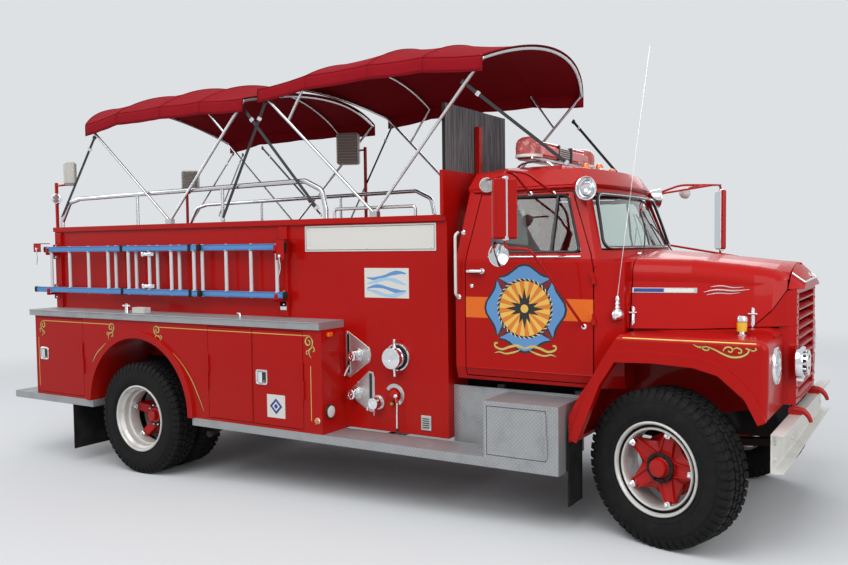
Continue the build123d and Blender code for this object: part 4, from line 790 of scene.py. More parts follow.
# The finish of each solid of the frame
COATS = {
    "red_enamel": (
        "body_box", "cab_shell", "fender_left", "fender_right", "grille_shell", "hood_left", "hood_right",
        "ladder_rack", "water_tank",
    ),
    "red_striped": (
        "lockers_left", "lockers_right", "locker_door_rear_left", "locker_door_rear_right",
        "locker_door_mid_left", "locker_door_mid_right", "locker_door_front_left", "locker_door_front_right",
    ),
    "red_door": ("cab_door_left", "cab_door_right"),
    "tread_plate": (
        "tread_plates", "rear_step", "tool_box_left", "tool_box_right", "tool_door_left", "tool_door_right",
    ),
    "black_enamel": ("frame_rails", "front_axle", "rear_axle", "knuckle_left",
                     "knuckle_right", "leaf_springs"),
    "engine_iron": ("powertrain", "exhaust"),
    "pipe_steel": ("handrails", "canopy_frames"),
    "bright_chrome": ("front_lamps", "mirror_left", "mirror_right", "pump_fittings"),
    "white_enamel": ("front_bumper",),
    "window_glass": ("cab_glass", "door_glass_left", "door_glass_right"),
    "bench_vinyl": ("seats",),
    "dash_paint": ("cab_interior",),
    "flap_rubber": ("mud_flaps",),
    "speaker_shell": ("speakers",),
    "blue_enamel": ("ladder",),
    "old_boards": ("wind_board",),
    "tyre_rubber": ("tyre_front_left", "tyre_front_right", "tyres_rear_left", "tyres_rear_right"),
    "red_wheel": ("rim_front_left", "rim_front_right", "rims_rear_left", "rims_rear_right"),
    "red_lens": ("light_bar",),
}


# Sizes and colours
class TruckColours(bpy.types.PropertyGroup):
    """The colours of the truck's finishes."""

    red: bpy.props.FloatVectorProperty(
        name="Red enamel", description="Body, cab and hood", subtype="COLOR", size=3, min=0, max=1,
        default=shade(176, 12, 7))
    orange: bpy.props.FloatVectorProperty(
        name="Orange band", description="Reflective band across each cab door", subtype="COLOR", size=3,
        min=0, max=1, default=shade(234, 112, 40))
    gold: bpy.props.FloatVectorProperty(
        name="Gold leaf", description="Pinstripes and scrollwork", subtype="COLOR", size=3, min=0, max=1,
        default=shade(222, 184, 96))
    white: bpy.props.FloatVectorProperty(
        name="White enamel", description="Front bumper", subtype="COLOR", size=3, min=0, max=1,
        default=shade(222, 220, 214))
    ladder_blue: bpy.props.FloatVectorProperty(
        name="Ladder blue", description="Side rails of the ladder", subtype="COLOR", size=3, min=0, max=1,
        default=shade(92, 146, 204))
    canvas: bpy.props.FloatVectorProperty(
        name="Canvas", description="Cloth of the two canopies", subtype="COLOR", size=3, min=0, max=1,
        default=shade(146, 18, 30))
    aluminium: bpy.props.FloatVectorProperty(
        name="Tread plate", description="Lozenge plate of the steps and tool boxes", subtype="COLOR", size=3,
        min=0, max=1, default=shade(196, 198, 200))


class TruckSizes(bpy.types.PropertyGroup):
    """The sizes of the pieces that are made here."""

    canvas_thickness: bpy.props.FloatProperty(
        name="Canvas thickness", description="Thickness of the canopy cloth", default=0.003, min=0.001,
        max=0.008, subtype="DISTANCE", unit="LENGTH")
    canvas_sag: bpy.props.FloatProperty(
        name="Canvas sag", description="How far the cloth dips between two bows", default=0.014, min=0,
        max=0.04, subtype="DISTANCE", unit="LENGTH")
    tread_depth: bpy.props.FloatProperty(
        name="Tread depth", description="Depth of the tyre grooves", default=0.013, min=0.004, max=0.02,
        subtype="DISTANCE", unit="LENGTH")
    tread_lugs: bpy.props.IntProperty(
        name="Tread lugs", description="Shoulder lugs round each side of a tyre", default=54, min=24, max=90)


def sizes():
    """The sizes that the user set."""
    return bpy.context.scene.truck_sizes


def colours():
    """The colours that the user set."""
    return bpy.context.scene.truck_colours


# The canopies
# Each bow: foot x, corner x, corner z, crown z. It leans through its foot and its corner.
REAR_BOWS = (
    (-4.705, -5.754, 3.227, 3.515), (-5.300, -5.300, 3.290, 3.560), (-4.700, -4.700, 3.295, 3.575),
    (-4.193, -4.193, 3.290, 3.550), (-4.705, -3.688, 3.270, 3.400),
)
FRONT_BOWS = (
    (-2.377, -3.491, 3.328, 3.470), (-2.980, -2.980, 3.380, 3.600), (-2.370, -2.370, 3.396, 3.660),
    (-1.864, -1.864, 3.390, 3.620), (-2.377, -1.372, 3.349, 3.535),
)
BOW_HALF_W = 0.970
BOW_FOOT_Z = 2.261
BOW_TUBE_R = 0.013 * 1.25
HEM_DROP = 0.120
# How the cloth is divided: rows from bow to bow, columns across the crown, rows down each hem
BAY_ROWS, CROWN_COLUMNS, HEM_ROWS = 8, 36, 4
# Where its flat size is measured
LENGTH_COLUMN, WIDTH_ROW = 18, 16


def bow_point(bow, share, lift):
    """A point on the bow's arc, share -1 to 1 across, that far outside its tube."""
    foot_x, top_x, corner_z, crown_z = bow
    lean = (top_x - foot_x) / (corner_z - BOW_FOOT_Z)
    stretch = hypot(1, lean)
    high, peak = (corner_z - BOW_FOOT_Z) * stretch, (crown_z - BOW_FOOT_Z) * stretch
    rise = peak - high
    arc_r = (BOW_HALF_W ** 2 + rise ** 2) / (2 * rise)
    reach = atan2(BOW_HALF_W + 0.016, arc_r - rise)
    a = reach * share
    y, b = (arc_r + lift) * sin(a), peak - arc_r + (arc_r + lift) * cos(a)
    return Vector((foot_x + lean / stretch * b, y, BOW_FOOT_Z + b / stretch))


def canopy_rows(bows, lift, sag):
    """Rows of points over the bows: a hem, the crown from side to side, a hem."""
    rows = []
    spans = len(bows) - 1
    for i in range(spans * BAY_ROWS + 1):
        bay = min(i // BAY_ROWS, spans - 1)
        t = (i - bay * BAY_ROWS) / BAY_ROWS
        near, far = bows[bay], bows[bay + 1]
        dip = sag * 4 * t * (1 - t)
        row = []
        for k in range(CROWN_COLUMNS + 1):
            share = -1 + 2 * k / CROWN_COLUMNS
            point = bow_point(near, share, lift) * (1 - t) + bow_point(far, share, lift) * t
            point.z -= dip * (0.5 + 0.5 * (1 - share * share))
            row.append(point)
        for end in (0, -1):
            edge, hem = row[end], []
            side = 1 if edge.y > 0 else -1
            for n in range(1, HEM_ROWS + 1):
                drop = n / HEM_ROWS
                flare = side * (0.004 + 0.010 * drop * (0.5 + 0.5 * sin(i * 1.9)) * 4 * t * (1 - t))
                hem.append(edge + Vector((0, flare, -(HEM_DROP - 0.012) * drop)))
            row = hem[::-1] + row if end == 0 else row + hem
        rows.append(row)
    return rows


def add_canopy(name, node, bows, slack):
    """One sheet of cloth over its bows, with the seams over each bow and along the hems."""
    rows = canopy_rows(bows, BOW_TUBE_R + slack + 0.006, sizes().canvas_sag)
    job = Job(name)
    job.lay(cloth_grid(rows), "canvas")
    piece = job.make(None, crease=60)
    thick = piece.modifiers.new("Thickness", "SOLIDIFY")
    thick.thickness, thick.offset = sizes().canvas_thickness, 0
    length = sum((b[LENGTH_COLUMN] - a[LENGTH_COLUMN]).length for a, b in zip(rows, rows[1:]))
    width = sum((b - a).length for a, b in zip(rows[WIDTH_ROW], rows[WIDTH_ROW][1:]))
    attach(piece, "chassis")
    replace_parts(piece, node)
    seams = Job(name + "_seams")
    for row in rows[::BAY_ROWS]:
        seams.lay(pipe([p + Vector((0, 0, 0.0015)) for p in row], 0.0045, 6, flat=0.6), "canvas_seam")
    for k in (0, HEM_ROWS, HEM_ROWS + CROWN_COLUMNS, 2 * HEM_ROWS + CROWN_COLUMNS):
        seams.tube([row[k] for row in rows], 0.0045, 6, "canvas_seam")
    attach(seams.make(None), "chassis")


class TRUCK_OT_canopies(bpy.types.Operator):
    """Stretch the two canvas canopies over their bows"""

    bl_idname = "truck.canopies"
    bl_label = "Canopies"

    def execute(self, context):
        add_canopy("canopy_cloth_rear", "canopy_rear", REAR_BOWS, 0.0032)
        add_canopy("canopy_cloth_front", "canopy_front", FRONT_BOWS, 0.0024)
        return {"FINISHED"}


# The tyres
TYRE_R = 0.515
# How far in from the outer tyre of a twin its two tyres are
TWIN = (0.0, 0.325)
TYRE_PROFILE = (
    # half section from the bead out to the tread's edge: radius, distance from the middle
    (0.288, 0.099), (0.300, 0.110), (0.309, 0.119), (0.322, 0.121), (0.332, 0.127), (0.352, 0.1325),
    (0.380, 0.135), (0.402, 0.135), (0.425, 0.1325), (0.448, 0.128), (0.468, 0.122), (0.484, 0.114),
    (0.496, 0.104), (0.502, 0.094),
)


def lug(corners, low, high, inset):
    """A tread block: its corners as (turn, across), standing from radius low to high."""
    verts, count = [], len(corners)
    mid_a = sum(c[0] for c in corners) / count
    mid_w = sum(c[1] for c in corners) / count
    for radius, pull in ((low, 0.0), (high - inset * 0.7, 0.0), (high, inset)):
        for turn, w in corners:
            if pull:
                span = max(hypot((turn - mid_a) * TYRE_R, w - mid_w), 1e-6)
                turn += (mid_a - turn) * pull / span
                w += (mid_w - w) * pull / span
            verts.append(Vector((radius * cos(turn), radius * sin(turn), w)))
    faces = []
    for row in (0, 1):
        a, b = row * count, (row + 1) * count
        for k in range(count):
            m = (k + 1) % count
            faces.append([a + k, a + m, b + m, b + k])
    faces.append([2 * count + k for k in range(count)])
    return verts, faces


def tyre_shape(job, place):
    """One tyre about z: the carcass, shoulder lugs, two rows of middle blocks and ribs."""
    depth, count = sizes().tread_depth, sizes().tread_lugs
    profile = list(TYRE_PROFILE) + [(TYRE_R - depth, 0.085), (TYRE_R - depth, 0.0)]
    whole = [(r, -w) for r, w in profile] + [(r, w) for r, w in profile[-2::-1]]
    whole += [(0.286, 0.099), (0.286, -0.099), (0.288, -0.099)]
    job.spin(whole, 96, "tyre_rubber", place)
    pitch = tau / count
    floor, top = TYRE_R - depth - 0.003, TYRE_R
    for i in range(count):
        for side in (-1, 1):
            a = pitch * (i + (0.5 if side > 0 else 0.0))
            wide = 0.66 if i % 2 else 0.58
            outline = [(a, side * 0.062), (a + pitch * 0.30, side * 0.052), (a + pitch * 0.74, side * 0.060),
                       (a + pitch * 0.86, side * 0.094), (a + pitch * wide, side * 0.112),
                       (a - pitch * 0.06, side * 0.112), (a + pitch * 0.10, side * 0.090)]
            job.lay(lug(outline, floor - 0.010, top - 0.001, 0.003), "tyre_rubber", place, flip=side < 0)
            shoulder = [(a - pitch * 0.06, side * 0.108), (a + pitch * wide, side * 0.108),
                        (a + pitch * (wide - 0.06), side * 0.129), (a + pitch * 0.02, side * 0.129)]
            verts, faces = lug(shoulder, 0.450, 0.505, 0.003)
            for k in range(4, 12):
                lean = 0.030 if k % 4 > 1 else 0.0
                flat = hypot(verts[k].x, verts[k].y)
                verts[k] = Vector((verts[k].x * (flat - lean) / flat,
                                   verts[k].y * (flat - lean) / flat, verts[k].z))
            job.lay((verts, faces), "tyre_rubber", place, flip=side < 0)
            b = pitch * (i + (0.15 if side > 0 else 0.65))
            block = [(b, side * 0.004), (b + pitch * 0.42, side * 0.012), (b + pitch * 0.80, side * 0.004),
                     (b + pitch * 0.86, side * 0.034), (b + pitch * 0.44, side * 0.046),
                     (b + pitch * 0.06, side * 0.036)]
            job.lay(lug(block, floor, top, 0.003), "tyre_rubber", place, flip=side < 0)
    for side in (-1, 1):
        for r, w in ((0.345, 0.1305), (0.437, 0.1308)):
            ring = [(r - 0.004, side * (w - 0.002)), (r - 0.002, side * (w + 0.0016)),
                    (r + 0.002, side * (w + 0.0016)), (r + 0.004, side * (w - 0.002))]
            job.spin(ring, 96, "tyre_rubber", place, flip=side < 0)


def front_wheel_place(side):
    """The steered front wheel: its outer face towards +z of the place."""
    pivot = Matrix.Translation((0, side * 0.820, 0.556)) @ Matrix.Rotation(-STEER, 4, "Z")
    faced = pivot @ Matrix.Rotation(0 if side < 0 else pi, 4, "Z")
    return faced @ Matrix.Translation((0, -0.180, 0)) @ Matrix.Rotation(pi / 2, 4, "X")


def rear_wheel_place(side):
    """The outer rear wheel: its outer face towards +z of the place."""
    return Matrix.Translation((-WHEELBASE, side * 1.085, 0.438)) @ Matrix.Rotation(-side * pi / 2, 4, "X")


class TRUCK_OT_tyres(bpy.types.Operator):
    """Fit the tyres, with their tread and side rings"""

    bl_idname = "truck.tyres"
    bl_label = "Tyres"

    def execute(self, context):
        for name, side in SIDE.items():
            job = Job(f"tyre_tread_front_{name}")
            tyre_shape(job, front_wheel_place(side))
            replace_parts(job.make(f"front_wheel_{name}", crease=40), f"tyre_front_{name}")
            job = Job(f"tyre_tread_rear_{name}")
            for inboard in TWIN:
                tyre_shape(job, rear_wheel_place(side) @ Matrix.Translation((0, 0, -inboard)))
            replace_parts(job.make(f"rear_wheel_{name}", crease=40), f"tyres_rear_{name}")
        return {"FINISHED"}


# The wheels
RIM_BARREL = (
    # radius and distance outwards from the middle of the tyre
    (0.2885, 0.096), (0.297, 0.104), (0.305, 0.114), (0.308, 0.122), (0.306, 0.129), (0.300, 0.132),
    (0.293, 0.130), (0.287, 0.121), (0.284, 0.108),
)
RIM_GROOVE = ((0.284, 0.108), (0.280, 0.098), (0.275, 0.094), (0.270, 0.096), (0.267, 0.102))
RIM_LIP = (
    (0.267, 0.102), (0.266, 0.109), (0.262, 0.114), (0.255, 0.114), (0.250, 0.108), (0.248, 0.096),
    (0.250, 0.060), (0.262, 0.040), (0.262, -0.060), (0.272, -0.090), (0.2875, -0.100), (0.2875, 0.096),
)


def nut(across, high, point, toward=(0, 0, 1)):
    """A hexagon nut with a bevelled top, and the end of its stud."""
    r = across / 2 / cos(pi / 6)
    hexagon = [(r * cos(tau * i / 6), r * sin(tau * i / 6)) for i in range(6)]
    place = facing_to(point, toward, (0, 1, 0.01))
    stud = turned([(r * 0.52, high * 0.8), (r * 0.52, high * 1.45), (r * 0.44, high * 1.55),
                   (0, high * 1.55)], 12)
    return ((cut(hexagon, 0, high, high * 0.18), place), (stud, place))


def ring_lay(job, turn, shapes, finish, place):
    """Lays shapes that each have a frame of their own, turned about the wheel."""
    for shape, own in shapes:
        job.lay(shape, finish, place @ turn @ own)


def front_wheel(name, side):
    """A cast wheel with five channelled spokes, wedge clamps, stud ring and hub cap."""
    job, place = Job(f"wheel_front_{name}"), front_wheel_place(side)
    for profile, finish in ((RIM_BARREL, "rim_silver"), (RIM_GROOVE, "black_enamel"),
                            (RIM_LIP, "rim_silver")):
        job.spin(profile, 80, finish, place, flip=True)
    job.spin([(0.0, 0.052), (0.060, 0.052), (0.066, 0.058), (0.090, 0.058), (0.098, 0.050), (0.104, 0.020),
              (0.150, -0.010), (0.205, -0.040), (0.205, -0.110), (0.110, -0.112), (0.060, -0.112)], 60,
             "red_wheel", place, flip=True)
    cap = [(0.071, 0.056), (0.068, 0.064), (0.062, 0.068), (0.060, 0.092), (0.055, 0.101), (0.040, 0.1045),
           (0.016, 0.105), (0.0, 0.105)]
    job.spin(cap, 48, "red_wheel", place)
    job.spin([(0.098, 0.050), (0.099, 0.064), (0.095, 0.070), (0.074, 0.070), (0.070, 0.064), (0.070, 0.056)],
             48, "black_enamel", place)
    for i in range(8):
        turn = Matrix.Rotation(tau * (i + 0.5) / 8, 4, "Z")
        ring_lay(job, turn, nut(0.017, 0.009, (0.084, 0, 0.070)), "black_enamel", place)
    for i in range(5):
        turn = Matrix.Rotation(tau * i / 5, 4, "Z")
        rows = []
        for t in steps(0, 1, 8):
            x = 0.088 + 0.150 * t
            half, top = 0.050 - 0.013 * t, 0.050 + 0.022 * t
            low = -0.050 + 0.070 * t
            rows.append([(x, -half - 0.010 * (1 - t), low), (x, -half, top - 0.012), (x, -half + 0.001, top),
                         (x, -half + 0.009, top + 0.001), (x, -half + 0.013, top - 0.012),
                         (x, half - 0.013, top - 0.012), (x, half - 0.009, top + 0.001),
                         (x, half - 0.001, top), (x, half, top - 0.012), (x, half + 0.010 * (1 - t), low)])
        job.lay(cloth_grid(rows, wrap=True), "red_wheel", place @ turn)
        job.lay((rows[-1], [list(range(len(rows[-1])))]), "red_wheel", place @ turn)
        for k in (-1, 1):
            web = []
            for t in steps(0, 1, 10):
                a = k * pi / 5 * (1 - t) + k * 0.16 * t
                r = 0.168 + 0.062 * t ** 1.8
                web.append([(r * cos(a), r * sin(a), -0.045 + 0.060 * t),
                            (r * cos(a), r * sin(a), 0.008 + 0.030 * t),
                            ((r - 0.010) * cos(a), (r - 0.010) * sin(a), 0.012 + 0.032 * t),
                            (0.092 * cos(a), 0.092 * sin(a), 0.030)])
            job.lay(cloth_grid(web), "red_wheel", place @ turn, flip=k > 0)
        wedge = [(0.218, -0.019), (0.262, -0.025), (0.268, 0.0), (0.262, 0.025), (0.218, 0.019), (0.210, 0.0)]
        job.lay(cut(wedge, 0.058, 0.098, 0.005), "bright_chrome", place @ turn)
        ring_lay(job, turn, nut(0.026, 0.014, (0.236, 0, 0.098)), "bright_chrome", place)
    valve = pipe([(0.232, 0.075, 0.06), (0.240, 0.078, 0.095), (0.245, 0.080, 0.112)], 0.005, 8)
    job.lay(valve, "bright_chrome", place)
    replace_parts(job.make(f"front_wheel_{name}"), f"rim_front_{name}")


def rear_wheel(name, side):
    """Two rims on one hub: the outer one a deep silver dish with studs and a red cap."""
    job, place = Job(f"wheel_rear_{name}"), rear_wheel_place(side)
    for inboard in TWIN:
        at = place @ Matrix.Translation((0, 0, -inboard))
        job.spin(RIM_BARREL, 80, "rim_silver", at, flip=True)
        dish = [(0.284, 0.108), (0.281, 0.098), (0.272, 0.088), (0.264, 0.080),
                (0.261, 0.066), (0.262, 0.030),
                (0.256, 0.020), (0.246, 0.016), (0.243, 0.008), (0.243, -0.085), (0.262, -0.095),
                (0.286, -0.118), (0.2875, -0.110), (0.2875, 0.096)]
        job.spin(dish, 80, "rim_silver", at, flip=True)
    hub = [(0.0, -0.012), (0.040, -0.012), (0.050, -0.020), (0.052, -0.060), (0.070, -0.066), (0.074, -0.085),
           (0.112, -0.090), (0.120, -0.100), (0.120, -0.412), (0.090, -0.414), (0.058, -0.414)]
    job.spin(hub, 48, "red_wheel", place, flip=True)
    job.spin([(0.076, -0.084), (0.078, -0.076), (0.106, -0.078), (0.112, -0.090)], 48, "black_enamel",
             place, flip=True)
    for i in range(10):
        turn = Matrix.Rotation(tau * i / 10, 4, "Z")
        ring_lay(job, turn, nut(0.018, 0.010, (0.092, 0, -0.078)), "bright_chrome", place)
    for i in range(5):
        turn = Matrix.Rotation(tau * (i + 0.25) / 5, 4, "Z")
        rows = []
        for t in steps(0, 1, 6):
            x, half, top = 0.108 + 0.122 * t, 0.052 - 0.014 * t, -0.100 + 0.050 * t
            rows.append([(x, -half, -0.20), (x, -half, top - 0.012), (x, -half + 0.006, top),
                         (x, half - 0.006, top), (x, half, top - 0.012), (x, half, -0.20)])
        job.lay(cloth_grid(rows, wrap=True), "red_wheel", place @ turn)
        job.lay((rows[-1], [list(range(len(rows[-1])))]), "red_wheel", place @ turn)
        wedge = [(0.206, -0.020), (0.240, -0.024), (0.243, 0.0), (0.240, 0.024), (0.206, 0.020)]
        job.lay(cut(wedge, -0.056, -0.020, 0.005), "bright_chrome", place @ turn)
        ring_lay(job, turn, nut(0.026, 0.014, (0.221, 0, -0.020)), "bright_chrome", place)
    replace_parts(job.make(f"rear_wheel_{name}"), f"rims_rear_{name}")


class TRUCK_OT_wheels(bpy.types.Operator):
    """Build the cast wheels with their clamps, nuts and caps"""

    bl_idname = "truck.wheels"
    bl_label = "Wheels"

    def execute(self, context):
        for name, side in SIDE.items():
            front_wheel(name, side)
            rear_wheel(name, side)
        return {"FINISHED"}


# Stripes and signs
# How far out the painted walls are, and how far off them a film lies
LOCKER_SKIN, BODY_SKIN, FENDER_SKIN, DOOR_SKIN, FILM_LIFT = 1.2202, 0.9111, 1.1053, 0.9403, 0.0001
SCROLL = (
    # a C scroll and its leaves, 0.17 m high: points and widths
    (((0.0, 0.0), (-0.030, -0.010), (-0.046, -0.040), (-0.030, -0.066), (-0.006, -0.060), (-0.002, -0.038),
      (-0.018, -0.030)), (0.004, 0.009, 0.013, 0.012, 0.009, 0.008, 0.011)),
    (((0.0, 0.0), (0.022, -0.036), (0.014, -0.080), (-0.012, -0.106), (-0.010, -0.136), (0.010, -0.166)),
     (0.004, 0.012, 0.010, 0.013, 0.008, 0.002)),
    (((0.006, -0.072), (0.032, -0.082), (0.040, -0.104), (0.026, -0.114)), (0.004, 0.010, 0.008, 0.010)),
    (((-0.012, -0.106), (-0.034, -0.112), (-0.036, -0.132), (-0.024, -0.136)), (0.004, 0.009, 0.007, 0.009)),
)
FENDER_SCROLL = (
    (((0.150, 1.372), (0.190, 1.356), (0.230, 1.362), (0.280, 1.346), (0.330, 1.322), (0.380, 1.306),
      (0.430, 1.310), (0.468, 1.330), (0.480, 1.354), (0.462, 1.364)),
     (0.003, 0.010, 0.006, 0.009, 0.011, 0.013, 0.012, 0.010, 0.008, 0.010)),
    (((0.330, 1.340), (0.344, 1.362), (0.372, 1.366), (0.386, 1.350), (0.376, 1.336), (0.360, 1.342)),
     (0.004, 0.010, 0.010, 0.009, 0.008, 0.010)),
    (((0.386, 1.352), (0.410, 1.364), (0.436, 1.352), (0.434, 1.334), (0.418, 1.336)),
     (0.004, 0.009, 0.009, 0.008, 0.009)),
    (((0.196, 1.366), (0.214, 1.344), (0.238, 1.340), (0.246, 1.352)), (0.003, 0.009, 0.008, 0.009)),
    (((0.480, 1.362), (0.500, 1.350), (0.522, 1.358), (0.516, 1.368)), (0.003, 0.008, 0.007, 0.008)),
)


def gold_work(job, place, lines):
    """Gold leaf laid over a slightly wider dark edge."""
    for points, widths in lines:
        job.lay(ribbon(points, [w + 0.007 for w in widths], 0.0006), "black_film_and_painted_shade", place)
        job.lay(ribbon(points, widths, 0.0012), "gold_leaf", place)


def locker_scroll(job, x, z, side, turn=0.0, flip=False, size=1.0):
    """The scroll that ends a pinstripe on the lockers."""
    grow = Matrix.Diagonal((-size if flip else size, size, 1, 1))
    place = on_flank(x, LOCKER_SKIN + FILM_LIFT, z, side) @ Matrix.Rotation(turn, 4, "Z")
    gold_work(job, place @ grow, SCROLL)


def badge(job, place):
    """A round badge on a four-armed cross, with a compass star and sunburst."""
    def arm(grow, high):
        tip = [(0.300, 43), (0.276, 34), (0.272, 27), (0.282, 18), (0.303, 8), (0.310, 0)]
        outline = [((r + grow) * cos(radians(a * k)), (r + grow) * sin(radians(a * k)))
                   for k, part in ((-1, tip), (1, tip[::-1])) for r, a in part]
        outline += arc_points(0.205, radians(33), radians(-33), 8)
        return cut(outline, 0, high)
    for k in range(4):
        turn = Matrix.Rotation(pi / 2 * k, 4, "Z")
        job.lay(arm(0.012, 0.0006), "black_film_and_painted_shade", place @ turn)
        job.lay(arm(-0.004, 0.0010), "sky_blue", place @ turn)
        strap = [(0.19, -0.030), (0.292, -0.030), (0.292, 0.030), (0.19, 0.030)]
        cross = place @ Matrix.Rotation(pi / 2 * (k + 0.5), 4, "Z")
        job.lay(cut(strap, 0, 0.0007), "black_film_and_painted_shade", cross)
        job.lay(cut([(x, y * 0.55) for x, y in strap], 0, 0.0011), "dark_red", cross)
    job.lay(cut(arc_points(0.214, 0, tau * 47 / 48, 47), 0, 0.0012), "black_film_and_painted_shade", place)
    for k in range(36):
        turn = Matrix.Rotation(tau * k / 36, 4, "Z")
        strand = [(0.197, -0.013), (0.203, -0.014), (0.219, 0.006), (0.213, 0.009)]
        job.lay(cut(strand, 0, 0.0018), "cream_film", place @ turn)
    for k in range(32):
        ray = [(0.0, 0.0)] + arc_points(0.197, tau * k / 32, tau * (k + 1) / 32, 2)
        job.lay(cut(ray, 0, 0.0015), "sun_pale" if k % 2 else "sun_deep", place)
    job.lay(cut(star(8, 0.118, 0.048, pi / 8), 0, 0.0019), "black_film_and_painted_shade", place)
    job.lay(cut(star(4, 0.150, 0.036), 0, 0.0022), "black_film_and_painted_shade", place)
    job.lay(cut(arc_points(0.030, 0, tau * 23 / 24, 23), 0, 0.0026), "sun_pale", place)
    flourish = (
        (((0.0, -0.286), (0.060, -0.268), (0.120, -0.280), (0.180, -0.300), (0.232, -0.284), (0.236, -0.258),
          (0.214, -0.256)), (0.010, 0.020, 0.018, 0.016, 0.014, 0.012, 0.014)),
        (((0.040, -0.300), (0.090, -0.318), (0.150, -0.330), (0.200, -0.320), (0.240, -0.330)),
         (0.006, 0.014, 0.012, 0.010, 0.003)),
    )
    for flip in (1, -1):
        gold_work(job, place @ Matrix.Diagonal((flip, 1, 1, 1)), flourish)


def framed(job, place, wide, tall, thick, face, border):
    """A plate with a border line round it."""
    job.box(-wide / 2, wide / 2, -tall / 2, tall / 2, 0, thick, 0.002, face, place)
    x, y, top, line = wide / 2 - border, tall / 2 - border, thick + 0.0006, 0.002
    for box in ((-x, x, -y - line, -y + line), (-x, x, y - line, y + line),
                (-x - line, -x + line, -y, y), (x - line, x + line, -y, y)):
        job.lay(slab(*box, thick, top, 0.0002), "black_film_and_painted_shade", place)


class TRUCK_OT_signwork(bpy.types.Operator):
    """Lay the pinstripes, gold scrolls, door badges and blank signs"""

    bl_idname = "truck.signwork"
    bl_label = "Stripes and signs"

    def execute(self, context):
        for name, side in SIDE.items():
            body = Job(f"stripes_body_{name}")
            locker_scroll(body, -5.15, 1.300, side, -0.55)
            locker_scroll(body, -4.60, 1.300, side, 0.55, flip=True)
            locker_scroll(body, -2.800, 1.296, side, size=1.05)
            arch = ((-4.46, 1.135), (-4.30, 1.030), (-4.15, 0.870), (-4.05, 0.700), (-3.995, 0.590))
            near = ((-5.27, 1.120), (-5.40, 1.020), (-5.47, 0.930))
            for line in (arch, near):
                gold_work(body, on_flank(0, LOCKER_SKIN + FILM_LIFT, 0, side),
                          ((line, (0.003, 0.008, 0.008, 0.003)),))
            framed(body, on_flank(-2.447, BODY_SKIN + FILM_LIFT, 2.0715, side), 1.272, 0.213, 0.005,
                   "sign_white", 0.014)
            bolt_row(body, on_flank(-2.447, 0.916, 2.0715, side),
                     [(x, y) for x in (-0.60, 0.0, 0.60) for y in (-0.08, 0.08)], 0.012, 0.004)
            if side < 0:
                sticker = on_flank(-2.2715, BODY_SKIN + FILM_LIFT, 1.714)
                body.box(-0.21, 0.21, -0.118, 0.118, 0, 0.0008, 0.0003, "sign_white", sticker)
                for k, (y, tilt, tone) in enumerate(((0.058, 0.10, "sky_blue"), (0.010, -0.08, "ice_blue"),
                                                     (-0.046, 0.06, "sky_blue"), (-0.078, 0.02, "ice_blue"))):
                    wave = [(x, y + 0.022 * sin(x * 14 + k * 1.4) + tilt * x * 0.3)
                            for x in steps(-0.185, 0.185, 8)]
                    band = ribbon(wave, (0.008, 0.030, 0.022, 0.034, 0.008), 0.0012 + k * 0.0002)
                    body.lay(band, tone, sticker)
            body.make("chassis")
            for door in ("rear", "front"):
                job = Job(f"stripes_locker_{door}_{name}")
                if door == "rear":
                    locker_scroll(job, -6.235, 1.298, side, flip=True, size=0.95)
                else:
                    tag = on_flank(-3.1675, LOCKER_SKIN + FILM_LIFT, 0.705, side)
                    job.box(-0.0965, 0.0965, -0.095, 0.095, 0, 0.0008, 0.0003, "sign_white", tag)
                    job.lay(cut(star(2, 0.066, 0.066), 0, 0.0014), "deep_blue", tag)
                    job.lay(cut(star(2, 0.040, 0.040), 0, 0.0018), "sign_white", tag)
                    job.lay(cut(arc_points(0.018, 0, tau * 23 / 24, 23), 0, 0.0022), "deep_blue", tag)
                job.make(f"locker_door_{door}_{name}")
            emblem = Job(f"badge_{name}")
            badge(emblem, on_flank(-1.069, DOOR_SKIN, 1.548, side))
            emblem.make(f"cab_door_{name}")
            fender = Job(f"stripes_fender_{name}")
            gold_work(fender, on_flank(0, FENDER_SKIN, 0, side), FENDER_SCROLL)
            crest = [(x, side * 1.0985, 1.3912) for x in steps(-0.300, 0.520, 10)]
            fender.tube(crest, 0.0045, 6, "gold_leaf")
            fender.make("chassis")
        return {"FINISHED"}


# The pump panel
VALVE_PLATES = (
    ((-2.676, 1.318), (-2.652, 1.318), (-2.440, 1.190), (-2.428, 1.130), (-2.440, 1.080), (-2.640, 0.940),
     (-2.676, 0.950)),
    ((-2.452, 1.004), (-2.410, 0.996), (-2.398, 0.950), (-2.398, 0.700), (-2.420, 0.672), (-2.448, 0.676),
     (-2.630, 0.782), (-2.636, 0.840)),
)


def hose_cap(job, place, radius, reach, flange):
    """A capped outlet: flange, neck, and a cap with two pin lugs."""
    job.spin([(flange, 0), (flange, 0.008), (flange * 0.96, 0.013), (radius * 1.12, 0.014),
              (radius * 1.12, 0.026),
              (radius * 0.92, 0.028), (radius * 0.92, 0.036)], 40, "pipe_steel", place)
    job.spin([(radius * 0.92, 0.034), (radius, 0.036), (radius, reach - 0.006),
              (radius * 0.96, reach - 0.001),
              (radius * 0.90, reach), (radius * 0.55, reach), (radius * 0.52, reach - 0.002),
              (radius * 0.16, reach - 0.002), (radius * 0.14, reach + 0.002), (0, reach + 0.002)], 40,
             "bright_chrome", place)
    for turn in (0.6, 0.6 + pi):
        pin = slab(radius * 0.9, radius + 0.015, -0.008, 0.008, reach - 0.034, reach - 0.014, 0.003)
        job.lay(pin, "bright_chrome", place @ Matrix.Rotation(turn, 4, "Z"))


def lever(job, place, start, end):
    """A short bright handle that swells towards its round end."""
    a, b = Vector(start), Vector(end)
    line = [a + (b - a) * t for t in steps(0, 1, 8)]
    job.tube(line, [0.006, 0.006, 0.007, 0.008, 0.010, 0.011, 0.012, 0.011, 0.006], 10,
             "bright_chrome", place)


